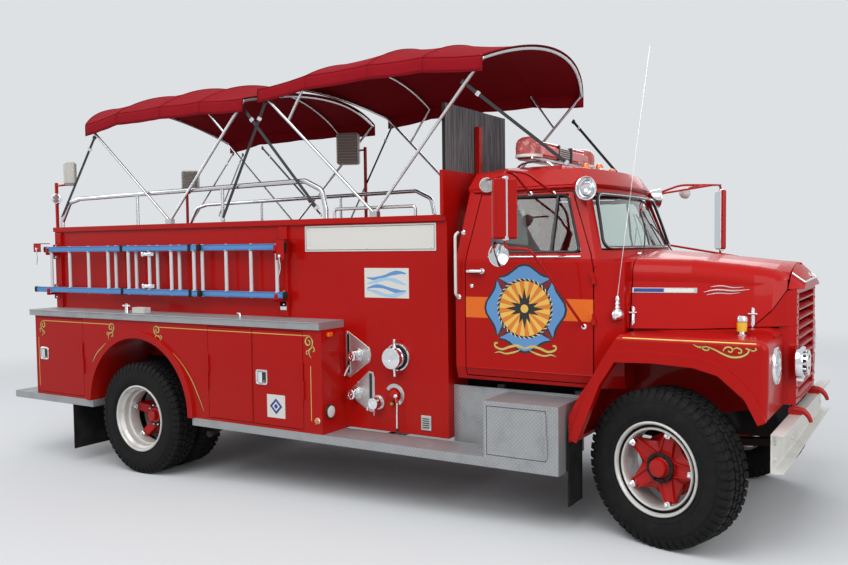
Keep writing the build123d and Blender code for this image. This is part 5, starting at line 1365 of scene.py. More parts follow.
class TRUCK_OT_pump(bpy.types.Operator):
    """Fit the valve plates, capped inlets, drain and vent to both pump panels"""

    bl_idname = "truck.pump"
    bl_label = "Pump panels"

    def execute(self, context):
        job = Job("pump_trim")
        wall = on_flank(0, BODY_SKIN, 0)
        for outline in VALVE_PLATES:
            job.lay(cut(outline, 0, 0.005, 0.002), "brushed_plate", wall)
        # Painted shade: between each pair of rails a black strip stands for the slot in the valve plate.
        for x, z0, z1 in ((-2.650, 0.985, 1.290), (-2.432, 0.765, 0.985)):
            job.box(x - 0.013, x + 0.013, z0, z1, 0.0048, 0.0062, 0.0004, "black_film_and_painted_shade", wall)
            job.box(x - 0.017, x - 0.013, z0 - 0.004, z1 + 0.004, 0.0045, 0.009, 0.001, "brushed_plate", wall)
            job.box(x + 0.013, x + 0.017, z0 - 0.004, z1 + 0.004, 0.0045, 0.009, 0.001, "brushed_plate", wall)
        bolt_row(job, on_flank(0, 0.916, 0),
                 [(-2.660, 1.305), (-2.452, 1.172), (-2.452, 1.096), (-2.655, 0.962),
                                              (-2.412, 0.975), (-2.412, 0.690), (-2.615, 0.800),
                                              (-2.560, 0.905)], 0.014, 0.004)
        lever(job, wall, (-2.640, 1.040, 0.012), (-2.668, 0.955, 0.044))
        lever(job, wall, (-2.434, 0.770, 0.012), (-2.446, 0.690, 0.044))
        for x, z, r, reach, flange in ((-2.560, 1.126, 0.041, 0.092, 0.056),
                                       (-2.574, 0.815, 0.041, 0.090, 0.056),
                                       (-2.359, 0.760, 0.047, 0.096, 0.060)):
            hose_cap(job, on_flank(x, BODY_SKIN + FILM_LIFT, z), r, reach, flange)
        intake = on_flank(-2.171, BODY_SKIN, 1.133)
        job.spin([(0.112, 0), (0.112, 0.010), (0.108, 0.016), (0.098, 0.017), (0.097, 0.012)],
                 48, "pipe_steel", intake)
        job.spin([(0.097, 0.012), (0.095, 0.024), (0.088, 0.028), (0.078, 0.028)], 48, "flap_rubber", intake)
        job.spin([(0.078, 0.026), (0.078, 0.044), (0.083, 0.048), (0.083, 0.060),
                  (0.080, 0.064), (0.080, 0.100),
                  (0.083, 0.102), (0.082, 0.108), (0.078, 0.110), (0.020, 0.110),
                  (0.018, 0.1085), (0, 0.1085)], 56,
                 "bright_chrome", intake)
        for way in (1, -1):
            arm = [(0, way * 0.076, 0.054), (0, way * 0.095, 0.054), (0, way * 0.120, 0.052),
                   (0, way * 0.142, 0.050)]
            job.tube(arm, [0.017, 0.014, 0.011, 0.013], 12, "bright_chrome", intake)
            job.spin([(0.013, 0), (0.0125, 0.004), (0.006, 0.008), (0, 0.008)], 14, "bright_chrome",
                     intake @ facing_to(arm[-1], (0, way, 0), (0, 0, 1)))
        bolt_row(job, on_flank(-2.171, 0.921, 1.133),
                 [(0.105 * cos(a), 0.105 * sin(a)) for a in steps(0.3, tau + 0.3, 8)[:-1]], 0.012, 0.006)
        drain = on_flank(-2.205, BODY_SKIN, 0.830)
        ring = arc_points(0.090, radians(150), radians(-60), 20)
        ring += arc_points(0.058, radians(-60), radians(150), 16)
        job.lay(cut(ring, 0, 0.008, 0.002), "brushed_plate", drain)
        job.spin([(0.040, 0), (0.040, 0.020), (0.034, 0.028), (0.022, 0.030), (0.022, 0.044), (0, 0.044)], 24,
                 "red_wheel", drain)
        for shape, own in nut(0.030, 0.012, (0.036, 0.0, 0.044)):
            job.lay(shape, "bright_chrome", drain @ own)
        job.tube([(-0.020, -0.040, 0.016), (0.030, -0.006, 0.040), (0.054, -0.050, 0.052)], 0.014,
                 10, "red_wheel", drain)
        job.spin([(0.016, 0), (0.018, 0.012), (0.010, 0.022), (0, 0.022)], 14, "brass",
                 drain @ Matrix.Translation((-0.022, -0.070, 0.004)))
        job.tube([(0.054, -0.050, 0.052), (0.054, -0.120, 0.056), (0.054, -0.250, 0.058)], 0.008, 10,
                 "bright_chrome", drain)
        job.spin([(0, -0.016), (0.010, -0.012), (0.014, 0), (0.010, 0.012), (0, 0.016)], 14, "black_film_and_painted_shade",
                 drain @ Matrix.Translation((0.054, -0.262, 0.058)))
        vent = on_flank(-1.9165, BODY_SKIN, 0.635)
        job.box(-0.046, 0.046, -0.059, 0.059, 0, 0.009, 0.004, "brushed_plate", vent)
        # Painted shade: black strips stand for the openings of the vent.
        for y in steps(-0.034, 0.034, 4):
            job.box(-0.030, 0.030, y - 0.004, y + 0.004, 0.008, 0.0115, 0.001, "black_film_and_painted_shade", vent)
        bolt_row(job, vent @ Matrix.Translation((0, 0, 0.009)),
                 [(x, y) for x in (-0.036, 0.036) for y in (-0.050, 0.050)], 0.010, 0.003)
        stem = [(-2.359, 0.706, 0.066), (-2.359, 0.680, 0.070), (-2.361, 0.662, 0.070)]
        job.tube(stem, 0.004, 8, "bright_chrome", wall)
        job.mirrored()
        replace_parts(job.make("chassis"), "pump_fittings")
        return {"FINISHED"}


# The nose
HOOD_SIDE = (
    # x, then the side of the hood: y and z at its fold, y and z at its lower edge
    (-0.345, 0.745, 1.745, 0.805, 1.425), (0.030, 0.680, 1.7387, 0.735, 1.430),
    (0.300, 0.605, 1.7213, 0.655, 1.440),
    (0.410, 0.570, 1.714, 0.615, 1.450), (0.520, 0.520, 1.7347, 0.560, 1.560),
)


def hood_spot(x, z, out):
    """A point on the right side of the hood, that far outside it."""
    k = max(i for i in range(len(HOOD_SIDE) - 1) if i == 0 or HOOD_SIDE[i][0] <= x)
    near, far = HOOD_SIDE[k], HOOD_SIDE[k + 1]
    t = (x - near[0]) / (far[0] - near[0])
    _, y1, z1, y0, z0 = [a + (b - a) * t for a, b in zip(near, far)]
    return Vector((x, -(y0 + (y1 - y0) * (z - z0) / (z1 - z0) + out), z))


def hood_bar(x0, x1, z0, z1, out):
    """A raised strip that follows the side of the hood."""
    rows = [[hood_spot(x, z0, 0.0), hood_spot(x, z0, out), hood_spot(x, z1, out), hood_spot(x, z1, 0.0)]
            for x in steps(x0, x1, 10)]
    return cloth_grid([row[::-1] for row in rows])


def hood_latch(job, x):
    """A sprung T handle that hooks the hood down to the fender shelf."""
    at = facing_to(hood_spot(x, 1.512, 0.0), (0.12, -0.97, 0.18))
    job.box(-0.012, 0.012, -0.058, 0.058, 0, 0.008, 0.003, "bright_chrome", at)
    job.tube([(0, -0.068, 0.014), (0, -0.02, 0.018), (0, 0.060, 0.016)], [0.006, 0.008, 0.006],
             10, "bright_chrome", at)
    job.tube([(-0.028, 0.018, 0.022), (0.028, 0.018, 0.022)], 0.0065, 10, "bright_chrome", at)
    bolt_row(job, at, [(0, 0.050), (0, -0.050)], 0.014, 0.012)


class TRUCK_OT_hood_trim(bpy.types.Operator):
    """Fix the latches, strips and flourishes to the two halves of the hood"""

    bl_idname = "truck.hood_trim"
    bl_label = "Hood trim"

    def execute(self, context):
        for name, side in SIDE.items():
            job = Job(f"hood_trim_{name}")
            for x in (-0.331, 0.410):
                hood_latch(job, x)
            job.lay(hood_bar(-0.345, 0.071, 1.668, 1.702, 0.004), "pipe_steel")
            job.lay(hood_bar(-0.334, -0.140, 1.673, 1.697, 0.0052), "deep_blue")
            job.lay(hood_bar(-0.134, 0.050, 1.673, 1.697, 0.0052), "sign_white")
            strokes = (
                (((0.112, 1.674), (0.190, 1.690), (0.290, 1.684), (0.386, 1.692)),
                 (0.002, 0.009, 0.009, 0.002)),
                (((0.150, 1.708), (0.215, 1.716), (0.290, 1.704), (0.350, 1.708)),
                 (0.002, 0.007, 0.006, 0.002)),
                (((0.130, 1.656), (0.200, 1.668), (0.270, 1.664), (0.330, 1.672)),
                 (0.002, 0.006, 0.005, 0.002)),
            )
            for points, widths in strokes:
                job.lay(wrap(ribbon(points, widths, 0.004), hood_spot), "bright_chrome")
            if side > 0:
                job.verts = [Vector((v.x, -v.y, v.z)) for v in job.verts]
                job.faces = [face[::-1] for face in job.faces]
            job.make(f"hood_{name}")
        return {"FINISHED"}


def headlamp(job, side):
    """A chrome rim, a faceted bowl and a domed clear lens."""
    at = facing_to((0.586, side * 0.850, 1.235), (1, 0, 0))
    job.spin([(0.121, 0), (0.122, 0.010), (0.119, 0.018), (0.112, 0.023), (0.104, 0.022), (0.100, 0.014),
              (0.098, 0.006), (0.090, -0.004), (0.060, -0.030), (0.030, -0.040), (0, -0.042)],
              56, "bright_chrome", at)
    job.spin([(0.099, 0.010), (0.096, 0.018), (0.075, 0.028), (0.040, 0.034), (0, 0.036)], 48, "clear_lens",
             at)
    for i in range(5):
        job.box(-0.085, 0.085, -0.062 + 0.031 * i - 0.0012, -0.062 + 0.031 * i + 0.0012, 0.012, 0.016, 0.0005,
                "clear_lens", at)
    job.spin([(0.016, -0.040), (0.018, -0.020), (0.010, -0.010), (0, -0.008)], 16, "pipe_steel", at)


def siren(job):
    """A chrome siren: round housing, slotted rotor guard and a domed nose."""
    at = facing_to((0.656, -0.505, 1.220), (1, 0, 0))
    job.spin([(0.060, 0), (0.098, 0.004), (0.107, 0.014), (0.108, 0.044), (0.102, 0.056), (0.086, 0.060)], 48,
             "bright_chrome", at)
    # Painted shade: a black disc behind the rotor guard stands for the dark inside of the siren.
    job.spin([(0.070, 0.058), (0.070, 0.076), (0, 0.078)], 32, "black_film_and_painted_shade", at)
    for i in range(14):
        turn = at @ Matrix.Rotation(tau * i / 14, 4, "Z")
        job.box(0.068, 0.083, -0.008, 0.008, 0.056, 0.080, 0.002, "bright_chrome", turn)
    job.spin([(0.083, 0.074), (0.084, 0.080), (0.080, 0.084), (0.060, 0.0845), (0.056, 0.080), (0.030, 0.081),
              (0.026, 0.086), (0.012, 0.089), (0, 0.089)], 48, "bright_chrome", at)
    # Painted shade: black strips on the nose stand for its slots.
    for x in (-0.040, -0.020, 0.020, 0.040):
        job.box(x - 0.004, x + 0.004, -0.045, 0.045, 0.0798, 0.0822, 0.0006, "black_film_and_painted_shade", at)
    job.box(-0.016, 0.016, -0.125, -0.100, 0.006, 0.050, 0.004, "bright_chrome", at)


class TRUCK_OT_front_lamps(bpy.types.Operator):
    """Fit headlamps, siren, the yellow fender lamps and the trim of the nose"""

    bl_idname = "truck.front_lamps"
    bl_label = "Front lamps"

    def execute(self, context):
        job = Job("front_lamp_set")
        for side in (-1, 1):
            headlamp(job, side)
            stalk = Matrix.Translation((0.380, side * 0.800, 1.408))
            job.spin([(0.030, -0.002), (0.030, 0.006), (0.020, 0.010), (0.018, 0.026)], 24,
                     "bright_chrome", stalk)
            job.spin([(0.018, 0.026), (0.031, 0.028), (0.032, 0.070), (0.030, 0.092)],
                     28, "yellow_lens", stalk)
            job.spin([(0.032, 0.088), (0.035, 0.092), (0.035, 0.106), (0.030, 0.124),
                      (0.018, 0.130), (0, 0.132)], 28,
                     "bright_chrome", stalk)
        siren(job)
        piece = job.make("chassis")
        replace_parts(piece, "front_lamps")
        trim = Job("nose_trim")
        lip = [(0.693 + 0.010 * (1 - (y / 0.33) ** 2), y, 1.737 + 0.012 * (1 - (y / 0.33) ** 2))
               for y in steps(-0.330, 0.330, 16)]
        trim.tube(lip, 0.007, 10, "bright_chrome")
        for side in (-1, 1):
            edge = [(0.612, side * 0.371, 1.795), (0.652, side * 0.353, 1.762), (0.690, side * 0.334, 1.733)]
            trim.tube(edge, 0.006, 8, "bright_chrome")
        badge_at = facing_to((0.6585, 0, 1.702), (1, 0, 0.02))
        framed(trim, badge_at, 0.56, 0.036, 0.006, "pipe_steel", 0.006)
        crest = facing_to((0.664, 0, 1.774), (0.62, 0, 0.78))
        trim.spin([(0.040, -0.010), (0.040, 0.008), (0.034, 0.012), (0.030, 0.009)], 32,
                  "bright_chrome", crest)
        trim.spin([(0.031, 0.004), (0.024, 0.011), (0, 0.014)], 28, "gold_leaf", crest)
        for side in (-1, 1):
            bolt_row(trim, facing_to((0.6555, side * 0.425, 1.3), (1, 0, 0)),
                     [(0, z) for z in steps(-0.33, 0.36, 10)], 0.012, 0.004, "red_enamel")
        trim.make("chassis")
        return {"FINISHED"}


class TRUCK_OT_bumper(bpy.types.Operator):
    """Build the white channel bumper with its red tow hooks"""

    bl_idname = "truck.bumper"
    bl_label = "Bumper"

    def execute(self, context):
        job = Job("bumper_channel")
        wall, back, front, low, top = 0.010, 0.615, 0.690, 0.630, 0.866
        profile = [(front, low), (back, low), (back, top), (front, top), (front, top - wall),
                   (back + wall + 0.006, top - wall),
                   (back + wall, top - wall - 0.006), (back + wall, low + wall + 0.006),
                   (back + wall + 0.006, low + wall), (front, low + wall)]
        beam = cut(profile, -1.161, 1.161)
        across = Matrix(((1, 0, 0, 0), (0, 0, 1, 0), (0, 1, 0, 0), (0, 0, 0, 1)))
        job.lay(beam, "white_enamel", across)
        for side in (-1, 1):
            for y in (0.36, 0.42, 1.08):
                for z in (0.700, 0.800):
                    bolt_row(job, facing_to((back + wall, side * y, z), (1, 0, 0)), [(0, 0)], 0.030,
                             0.012, "white_enamel")
            job.box(0.605, back + 0.001, side * 0.392 - 0.030, side * 0.392 + 0.030, 0.703, 0.853,
                    0.003, "black_enamel")
            foot = [(0.612, 0.866), (0.684, 0.866), (0.700, 0.872), (0.690, 0.905),
                    (0.650, 0.926), (0.612, 0.908)]
            job.lay(cut(foot, side * 0.456 - 0.018, side * 0.456 + 0.018, 0.004), "red_wheel", across)
            horn = [(0.640, side * 0.456, 0.900), (0.690, side * 0.456, 0.896), (0.720, side * 0.456, 0.876),
                    (0.738, side * 0.456, 0.850), (0.748, side * 0.456, 0.822)]
            job.tube(smooth_path(horn, 4), [0.024 - 0.012 * t for t in steps(0, 1, 16)], 12, "red_wheel")
            bolt_row(job, Matrix.Translation((0.635, side * 0.456, 0.926)), [(0, 0)],
                     0.026, 0.008, "red_wheel")
        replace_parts(job.make("chassis"), "front_bumper")
        return {"FINISHED"}


# The cab
def cab_skin(z):
    """How far out the cab's side is at that height."""
    if z < 1.901:
        return 0.940 - max(0.0, z - 1.850) / 0.051 * 0.008
    return 0.932 - (z - 1.901) / 0.499 * 0.174


def cab_front(y, z):
    """The x of the windshield's surface at that point."""
    t = (z - 1.901) / 0.499
    side, middle = -0.545 - 0.145 * t, -0.380 - 0.220 * t
    return middle + (side - middle) * (y / 0.93) ** 2


def rod(job, points, radius, finish, corner):
    """A round rod with its corners bent to that radius."""
    job.tube(rounded_path(points, corner, 6), radius, 12, finish)


def swing_mirror(job, side, x, z, tall, feet):
    """A tall mirror in a rounded shell with a chrome rib, hung from tube loops."""
    out = side * 1.350
    turn = Matrix.Translation((x, out, z)) @ Matrix.Rotation(side * 0.52, 4, "Z")
    job.box(-0.022, 0.024, -0.094, 0.094, -tall / 2, tall / 2, 0.012, "red_enamel", turn)
    job.box(-0.0245, -0.021, -0.086, 0.086, -tall / 2 + 0.010, tall / 2 - 0.010, 0.001, "mirror_glass", turn)
    job.box(0.022, 0.029, -0.007, 0.007, -tall / 2 + 0.006, tall / 2 - 0.006, 0.003, "bright_chrome", turn)
    for end in (-1, 1):
        job.box(-0.012, 0.030, -0.014, 0.014, end * (tall / 2 - 0.002) - 0.014,
                end * (tall / 2 - 0.002) + 0.014, 0.005, "bright_chrome", turn)
    top, low = z + tall / 2 + 0.012, z - tall / 2 - 0.012
    (xa, za), (xb, zb) = feet
    ya, yb = side * (cab_skin(za) + 0.006), side * (cab_skin(zb) + 0.006)
    peak = top + 0.035
    rod(job, [(x, out, top - 0.03), (x, out, peak), ((x + xa) / 2, side * 1.12, peak), (xa, ya, za)],
        0.0095, "red_enamel", 0.06)
    rod(job, [(x, out, peak), (x - 0.02, side * 1.15, peak - 0.01),
              (xa - 0.18, side * (cab_skin(za) + 0.006), za + 0.005)], 0.0085,
        "red_enamel", 0.06)
    rod(job, [(x, out, low + 0.03), (x, out, low - 0.05), (x + 0.18, out, low - 0.056), (xb, yb, zb)],
        0.0095, "red_enamel", 0.05)
    for fx, fy, fz in ((xa, ya, za), (xa - 0.18, ya, za + 0.005), (xb, yb, zb)):
        foot = facing_to((fx, fy - side * 0.006, fz), (0, side, 0.05))
        job.spin([(0.019, 0), (0.019, 0.005), (0.012, 0.010), (0, 0.012)], 16, "bright_chrome", foot)
    ball = facing_to((x - 0.055, out, low - 0.095), (0.82, side * 0.55, 0.05))
    job.spin([(0.012, -0.012), (0.060, 0.002), (0.076, 0.010), (0.079, 0.016), (0.074, 0.019)], 36,
             "bright_chrome", ball)
    back = ball @ Matrix.Rotation(pi, 4, "X")
    job.spin([(0.074, -0.019), (0.050, -0.009), (0.020, -0.004), (0, -0.003)], 32, "mirror_glass",
             back @ Matrix.Translation((0, 0, -0.001)))
    lamp = facing_to((x - 0.250, side * 1.120, peak - 0.070), (0.52, side * 0.85, 0.02))
    job.spin([(0, -0.050), (0.026, -0.046), (0.045, -0.024), (0.052, 0.004), (0.052, 0.012),
              (0.048, 0.015)], 36, "sign_white", lamp)
    job.spin([(0.048, 0.013), (0.030, 0.019), (0, 0.021)], 32, "clear_lens", lamp)
    rod(job, [(x - 0.10, side * 1.140, peak - 0.012), (x - 0.19, side * 1.130, peak - 0.020),
              (x - 0.250, side * 1.125, peak - 0.040)],
        0.007, "red_enamel", 0.03)
    rod(job, [(x, out, low - 0.02), (x - 0.02, out, low - 0.08), (x - 0.055, out, low - 0.095)], 0.006,
        "bright_chrome", 0.02)


class TRUCK_OT_cab(bpy.types.Operator):
    """Fit the cab's rubbers, rails, handles, mirrors and aerial"""

    bl_idname = "truck.cab"
    bl_label = "Cab"

    def execute(self, context):
        shell = Job("cab_trim")
        wind = ((-0.815, 1.974), (-0.684, 2.362), (0.684, 2.362), (0.815, 1.974))
        for grow, radius, finish in ((0.0, 0.013, "window_rubber"), (0.010, 0.004, "bright_chrome")):
            line = rounded_path([(*p, 0) for p in wind], 0.09, 6, closed=True)
            dense = []
            for a, b in zip(line, line[1:] + line[:1]):
                dense += [a + (b - a) * t for t in steps(0, 1, max(1, ceil((b - a).length / 0.12)))[:-1]]
            shell.lay(pipe([(cab_front(p.x, p.y) + 0.004 + grow, p.x, p.y) for p in dense], radius,
                           8, closed=True), finish)
        for side in (-1, 1):
            arm = [(cab_front(side * y, at) + off, side * y, z) for y, at, off, z in
                   ((0.40, 1.93, 0.045, 1.925), (0.25, 2.02, 0.03, 2.03), (0.08, 2.14, 0.022, 2.15))]
            shell.tube(smooth_path(arm, 5), 0.005, 8, "window_rubber")
            blade = [(cab_front(side * y, z) + 0.017, side * y, z)
                     for y, z in ((0.16, 1.99), (0.09, 2.12), (0.03, 2.25))]
            shell.lay(pipe(smooth_path(blade, 5), 0.007, 6, flat=0.5), "window_rubber")
            shell.spin([(0.022, 0), (0.020, 0.018), (0.010, 0.026), (0, 0.026)], 16, "bright_chrome",
                       facing_to((cab_front(side * 0.40, 1.93) + 0.012, side * 0.40, 1.920), (1, 0, 0.2)))
            gutter = [(-1.560, side * 0.768, 2.404), (-1.0, side * 0.772, 2.410),
                      (-0.700, side * 0.764, 2.412), (-0.655, side * 0.700, 2.418)]
            shell.tube(smooth_path(gutter, 6), 0.009, 8, "red_enamel")
            rod(shell, [(-1.602, side * 0.945, 2.100), (-1.602, side * 0.990, 2.080),
                        (-1.602, side * 0.990, 1.640),
                        (-1.602, side * 0.945, 1.620)], 0.011, "sign_white", 0.03)
            for z in (2.100, 1.620):
                shell.spin([(0.020, 0), (0.020, 0.005), (0.012, 0.012), (0, 0.013)], 16, "bright_chrome",
                           facing_to((-1.602, side * cab_skin(z), z), (0, side, 0)))
            spot = facing_to((-0.640, side * 0.868, 2.385), (0.80, side * 0.58, -0.05))
            shell.spin([(0.014, -0.110), (0.045, -0.090), (0.070, -0.055), (0.079, -0.010),
                        (0.084, 0.0), (0.085, 0.008),
                        (0.080, 0.013), (0.074, 0.010), (0.060, -0.008), (0.030, -0.026), (0, -0.030)], 44,
                        "bright_chrome", spot)
            shell.spin([(0.074, 0.009), (0.060, 0.016), (0.030, 0.021), (0, 0.022)], 36, "clear_lens", spot)
            rod(shell, [(-0.690, side * 0.800, 2.330), (-0.670, side * 0.840, 2.340),
                        (-0.660, side * 0.850, 2.360)], 0.009, "bright_chrome", 0.02)
        base = Matrix.Translation((-0.402, -0.902, 1.522))
        shell.spin([(0, -0.046), (0.022, -0.040), (0.038, -0.026), (0.046, 0), (0.038, 0.026), (0.022, 0.040),
                    (0.014, 0.046)], 28, "bright_chrome", base)
        shell.spin([(0.018, 0.040), (0.022, 0.052), (0.016, 0.062), (0.020, 0.078),
                    (0.013, 0.090), (0.017, 0.106), (0.008, 0.130), (0, 0.132)], 20, "bright_chrome", base)
        shell.tube([(-0.402, -0.902, 1.645), (-0.380, -0.902, 1.82), (-0.184, -0.902, 3.290)],
                   [0.004, 0.0025, 0.0015], 6, "bright_chrome")
        shell.spin([(0.030, 0), (0.030, 0.006), (0.018, 0.012), (0, 0.014)], 18, "bright_chrome",
                   facing_to((-0.402, -0.862, 1.522), (0.2, -1, 0)))
        rod(shell, [(-0.402, -0.865, 1.522), (-0.402, -0.895, 1.522)], 0.010, "bright_chrome", 0.0)
        for y in (-0.60, -0.30, 0.0, 0.30, 0.60):
            top = 2.585 - 0.075 * (abs(y) / 0.6) ** 2
            lamp = Matrix.Translation((-0.850, y, top))
            shell.spin([(0.036, -0.02), (0.038, 0.006), (0.030, 0.010)], 24, "bright_chrome", lamp)
            shell.spin([(0.031, 0.008), (0.030, 0.026), (0.022, 0.042), (0, 0.047)], 24, "amber_lens", lamp)
        shell.box(-1.712, -1.668, -0.462, -0.412, 2.240, 2.940, 0.004, "red_enamel")
        shell.make("chassis")
        for name, side in SIDE.items():
            job = Job(f"door_trim_{name}")
            pane = ((-1.352, 1.950), (-1.315, 2.354), (-0.806, 2.354), (-0.664, 1.950))
            line = rounded_path([(*p, 0) for p in pane], 0.045, 5, closed=True)
            job.lay(pipe([(p.x, side * (cab_skin(p.y) - 0.001), p.y) for p in line], 0.010, 8, closed=True),
                    "window_rubber")
            job.tube([(-0.879, side * (cab_skin(2.350) - 0.004), 2.350),
                      (-0.879, side * (cab_skin(1.955) - 0.004), 1.955)], 0.011, 8,
                     "window_rubber")
            belt = [(x, side * 0.934, 1.918) for x in steps(-1.360, -0.650, 6)]
            job.tube(belt, 0.006, 8, "bright_chrome")
            grip = on_flank(-1.457, 0.9545, 1.814, side)
            job.tube([(-0.070, 0, 0.004), (-0.055, 0, 0.022), (0.030, 0, 0.024), (0.055, 0, 0.010)], 0.0105,
                     10, "bright_chrome", grip)
            job.spin([(0.024, -0.012), (0.024, 0.0), (0.018, 0.008), (0, 0.010)], 20, "bright_chrome",
                     grip @ Matrix.Translation((0.052, 0, 0)))
            job.spin([(0.014, 0), (0.014, 0.004), (0.009, 0.007), (0, 0.007)], 16, "bright_chrome",
                     on_flank(-1.492, 0.9402, 1.704, side))
            low = [(x, side * 0.9415, 1.100) for x in steps(-1.540, -0.565, 6)]
            job.tube(low, 0.004, 6, "red_enamel")
            job.make(f"cab_door_{name}")
        for name, side, x, z, tall, feet in (
            ("right", -1, -1.021, 2.245, 0.405, ((-0.915, 2.365), (-0.624, 1.437))),
            ("left", 1, -0.223, 2.200, 0.523, ((-0.800, 2.365), (-0.650, 2.001))),
        ):
            job = Job(f"mirror_set_{name}")
            swing_mirror(job, side, x, z, tall, feet)
            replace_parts(job.make(f"cab_door_{name}"), f"mirror_{name}")
        return {"FINISHED"}


class TRUCK_OT_light_bar(bpy.types.Operator):
    """Build the roof light bar with its two domes"""

    bl_idname = "truck.light_bar"
    bl_label = "Light bar"

    def execute(self, context):
        job = Job("light_bar_set")
        job.box(-1.262, -1.138, -0.640, 0.640, 2.634, 2.664, 0.008, "pipe_steel")
        for side in (-1, 1):
            foot = [(-1.200, side * 0.450, 2.636), (-1.300, side * 0.450, 2.625),
                    (-1.350, side * 0.450, 2.590)]
            for way in (1, -1):
                bent = [(-1.200 + way * (p[0] + 1.200), p[1], p[2]) for p in foot]
                job.lay(pipe(smooth_path(bent, 5), 0.016, 10, flat=0.5), "bright_chrome")
            at = Matrix.Translation((-1.200, side * 0.560, 2.664))
            job.spin([(0.086, -0.012), (0.103, -0.008), (0.103, 0.010), (0.096, 0.014)], 48, "sign_white", at)
            job.spin([(0.098, 0.010), (0.100, 0.060), (0.096, 0.100), (0.084, 0.124),
                      (0.060, 0.140), (0.030, 0.148), (0, 0.150)], 48, "dome_plastic", at)
            job.spin([(0.050, 0.012), (0.050, 0.030), (0.030, 0.040), (0, 0.040)], 24, "pipe_steel", at)
            for way in (0, 1):
                bowl = at @ Matrix.Rotation(pi * way + 0.7, 4, "Z") @ Matrix.Translation((0.006, 0, 0.075))
                bowl = bowl @ Matrix.Rotation(pi / 2, 4, "Y")
                job.spin([(0.010, 0), (0.026, 0.008), (0.040, 0.026), (0.046, 0.050)], 28,
                         "bright_chrome", bowl)
                job.spin([(0.046, 0.050), (0.042, 0.048), (0.036, 0.026), (0.022, 0.010), (0, 0.006)], 28,
                         "bright_chrome", bowl)
            y0, y1 = sorted((side * 0.130, side * 0.440))
            job.box(-1.270, -1.130, y0, y1, 2.668, 2.772, 0.020, "red_lens")
            job.box(-1.262, -1.138, y0 + 0.006, y1 - 0.006, 2.770, 2.784, 0.005, "dome_plastic")
            edge = side * 0.130
            job.box(-1.275, -1.125, edge - 0.008, edge + 0.008, 2.664, 2.784, 0.005, "black_film_and_painted_shade")
        job.box(-1.266, -1.134, -0.122, 0.122, 2.666, 2.780, 0.022, "speaker_shell")
        # Painted shade: black strips on the speaker's face stand for the openings of its grille.
        for z in steps(2.690, 2.756, 4):
            job.box(-1.136, -1.130, -0.090, 0.090, z - 0.004, z + 0.004, 0.001, "black_film_and_painted_shade")
        for y in (-0.640, 0.640):
            job.box(-1.255, -1.145, y - 0.006, y + 0.006, 2.640, 2.670, 0.004, "black_film_and_painted_shade")
        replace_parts(job.make("chassis"), "light_bar")
        return {"FINISHED"}


# The ladder
LADDERS = (
    # y, low rail x, high rail x, first rung x
    (-1.020, (-6.620, -4.200), (-6.450, -4.200), -6.334),
    (-0.983, (-5.500, -3.230), (-5.500, -3.230), -5.387),
)
RUNG_PITCH = 0.293
RAIL_Z = (1.600, 2.010)


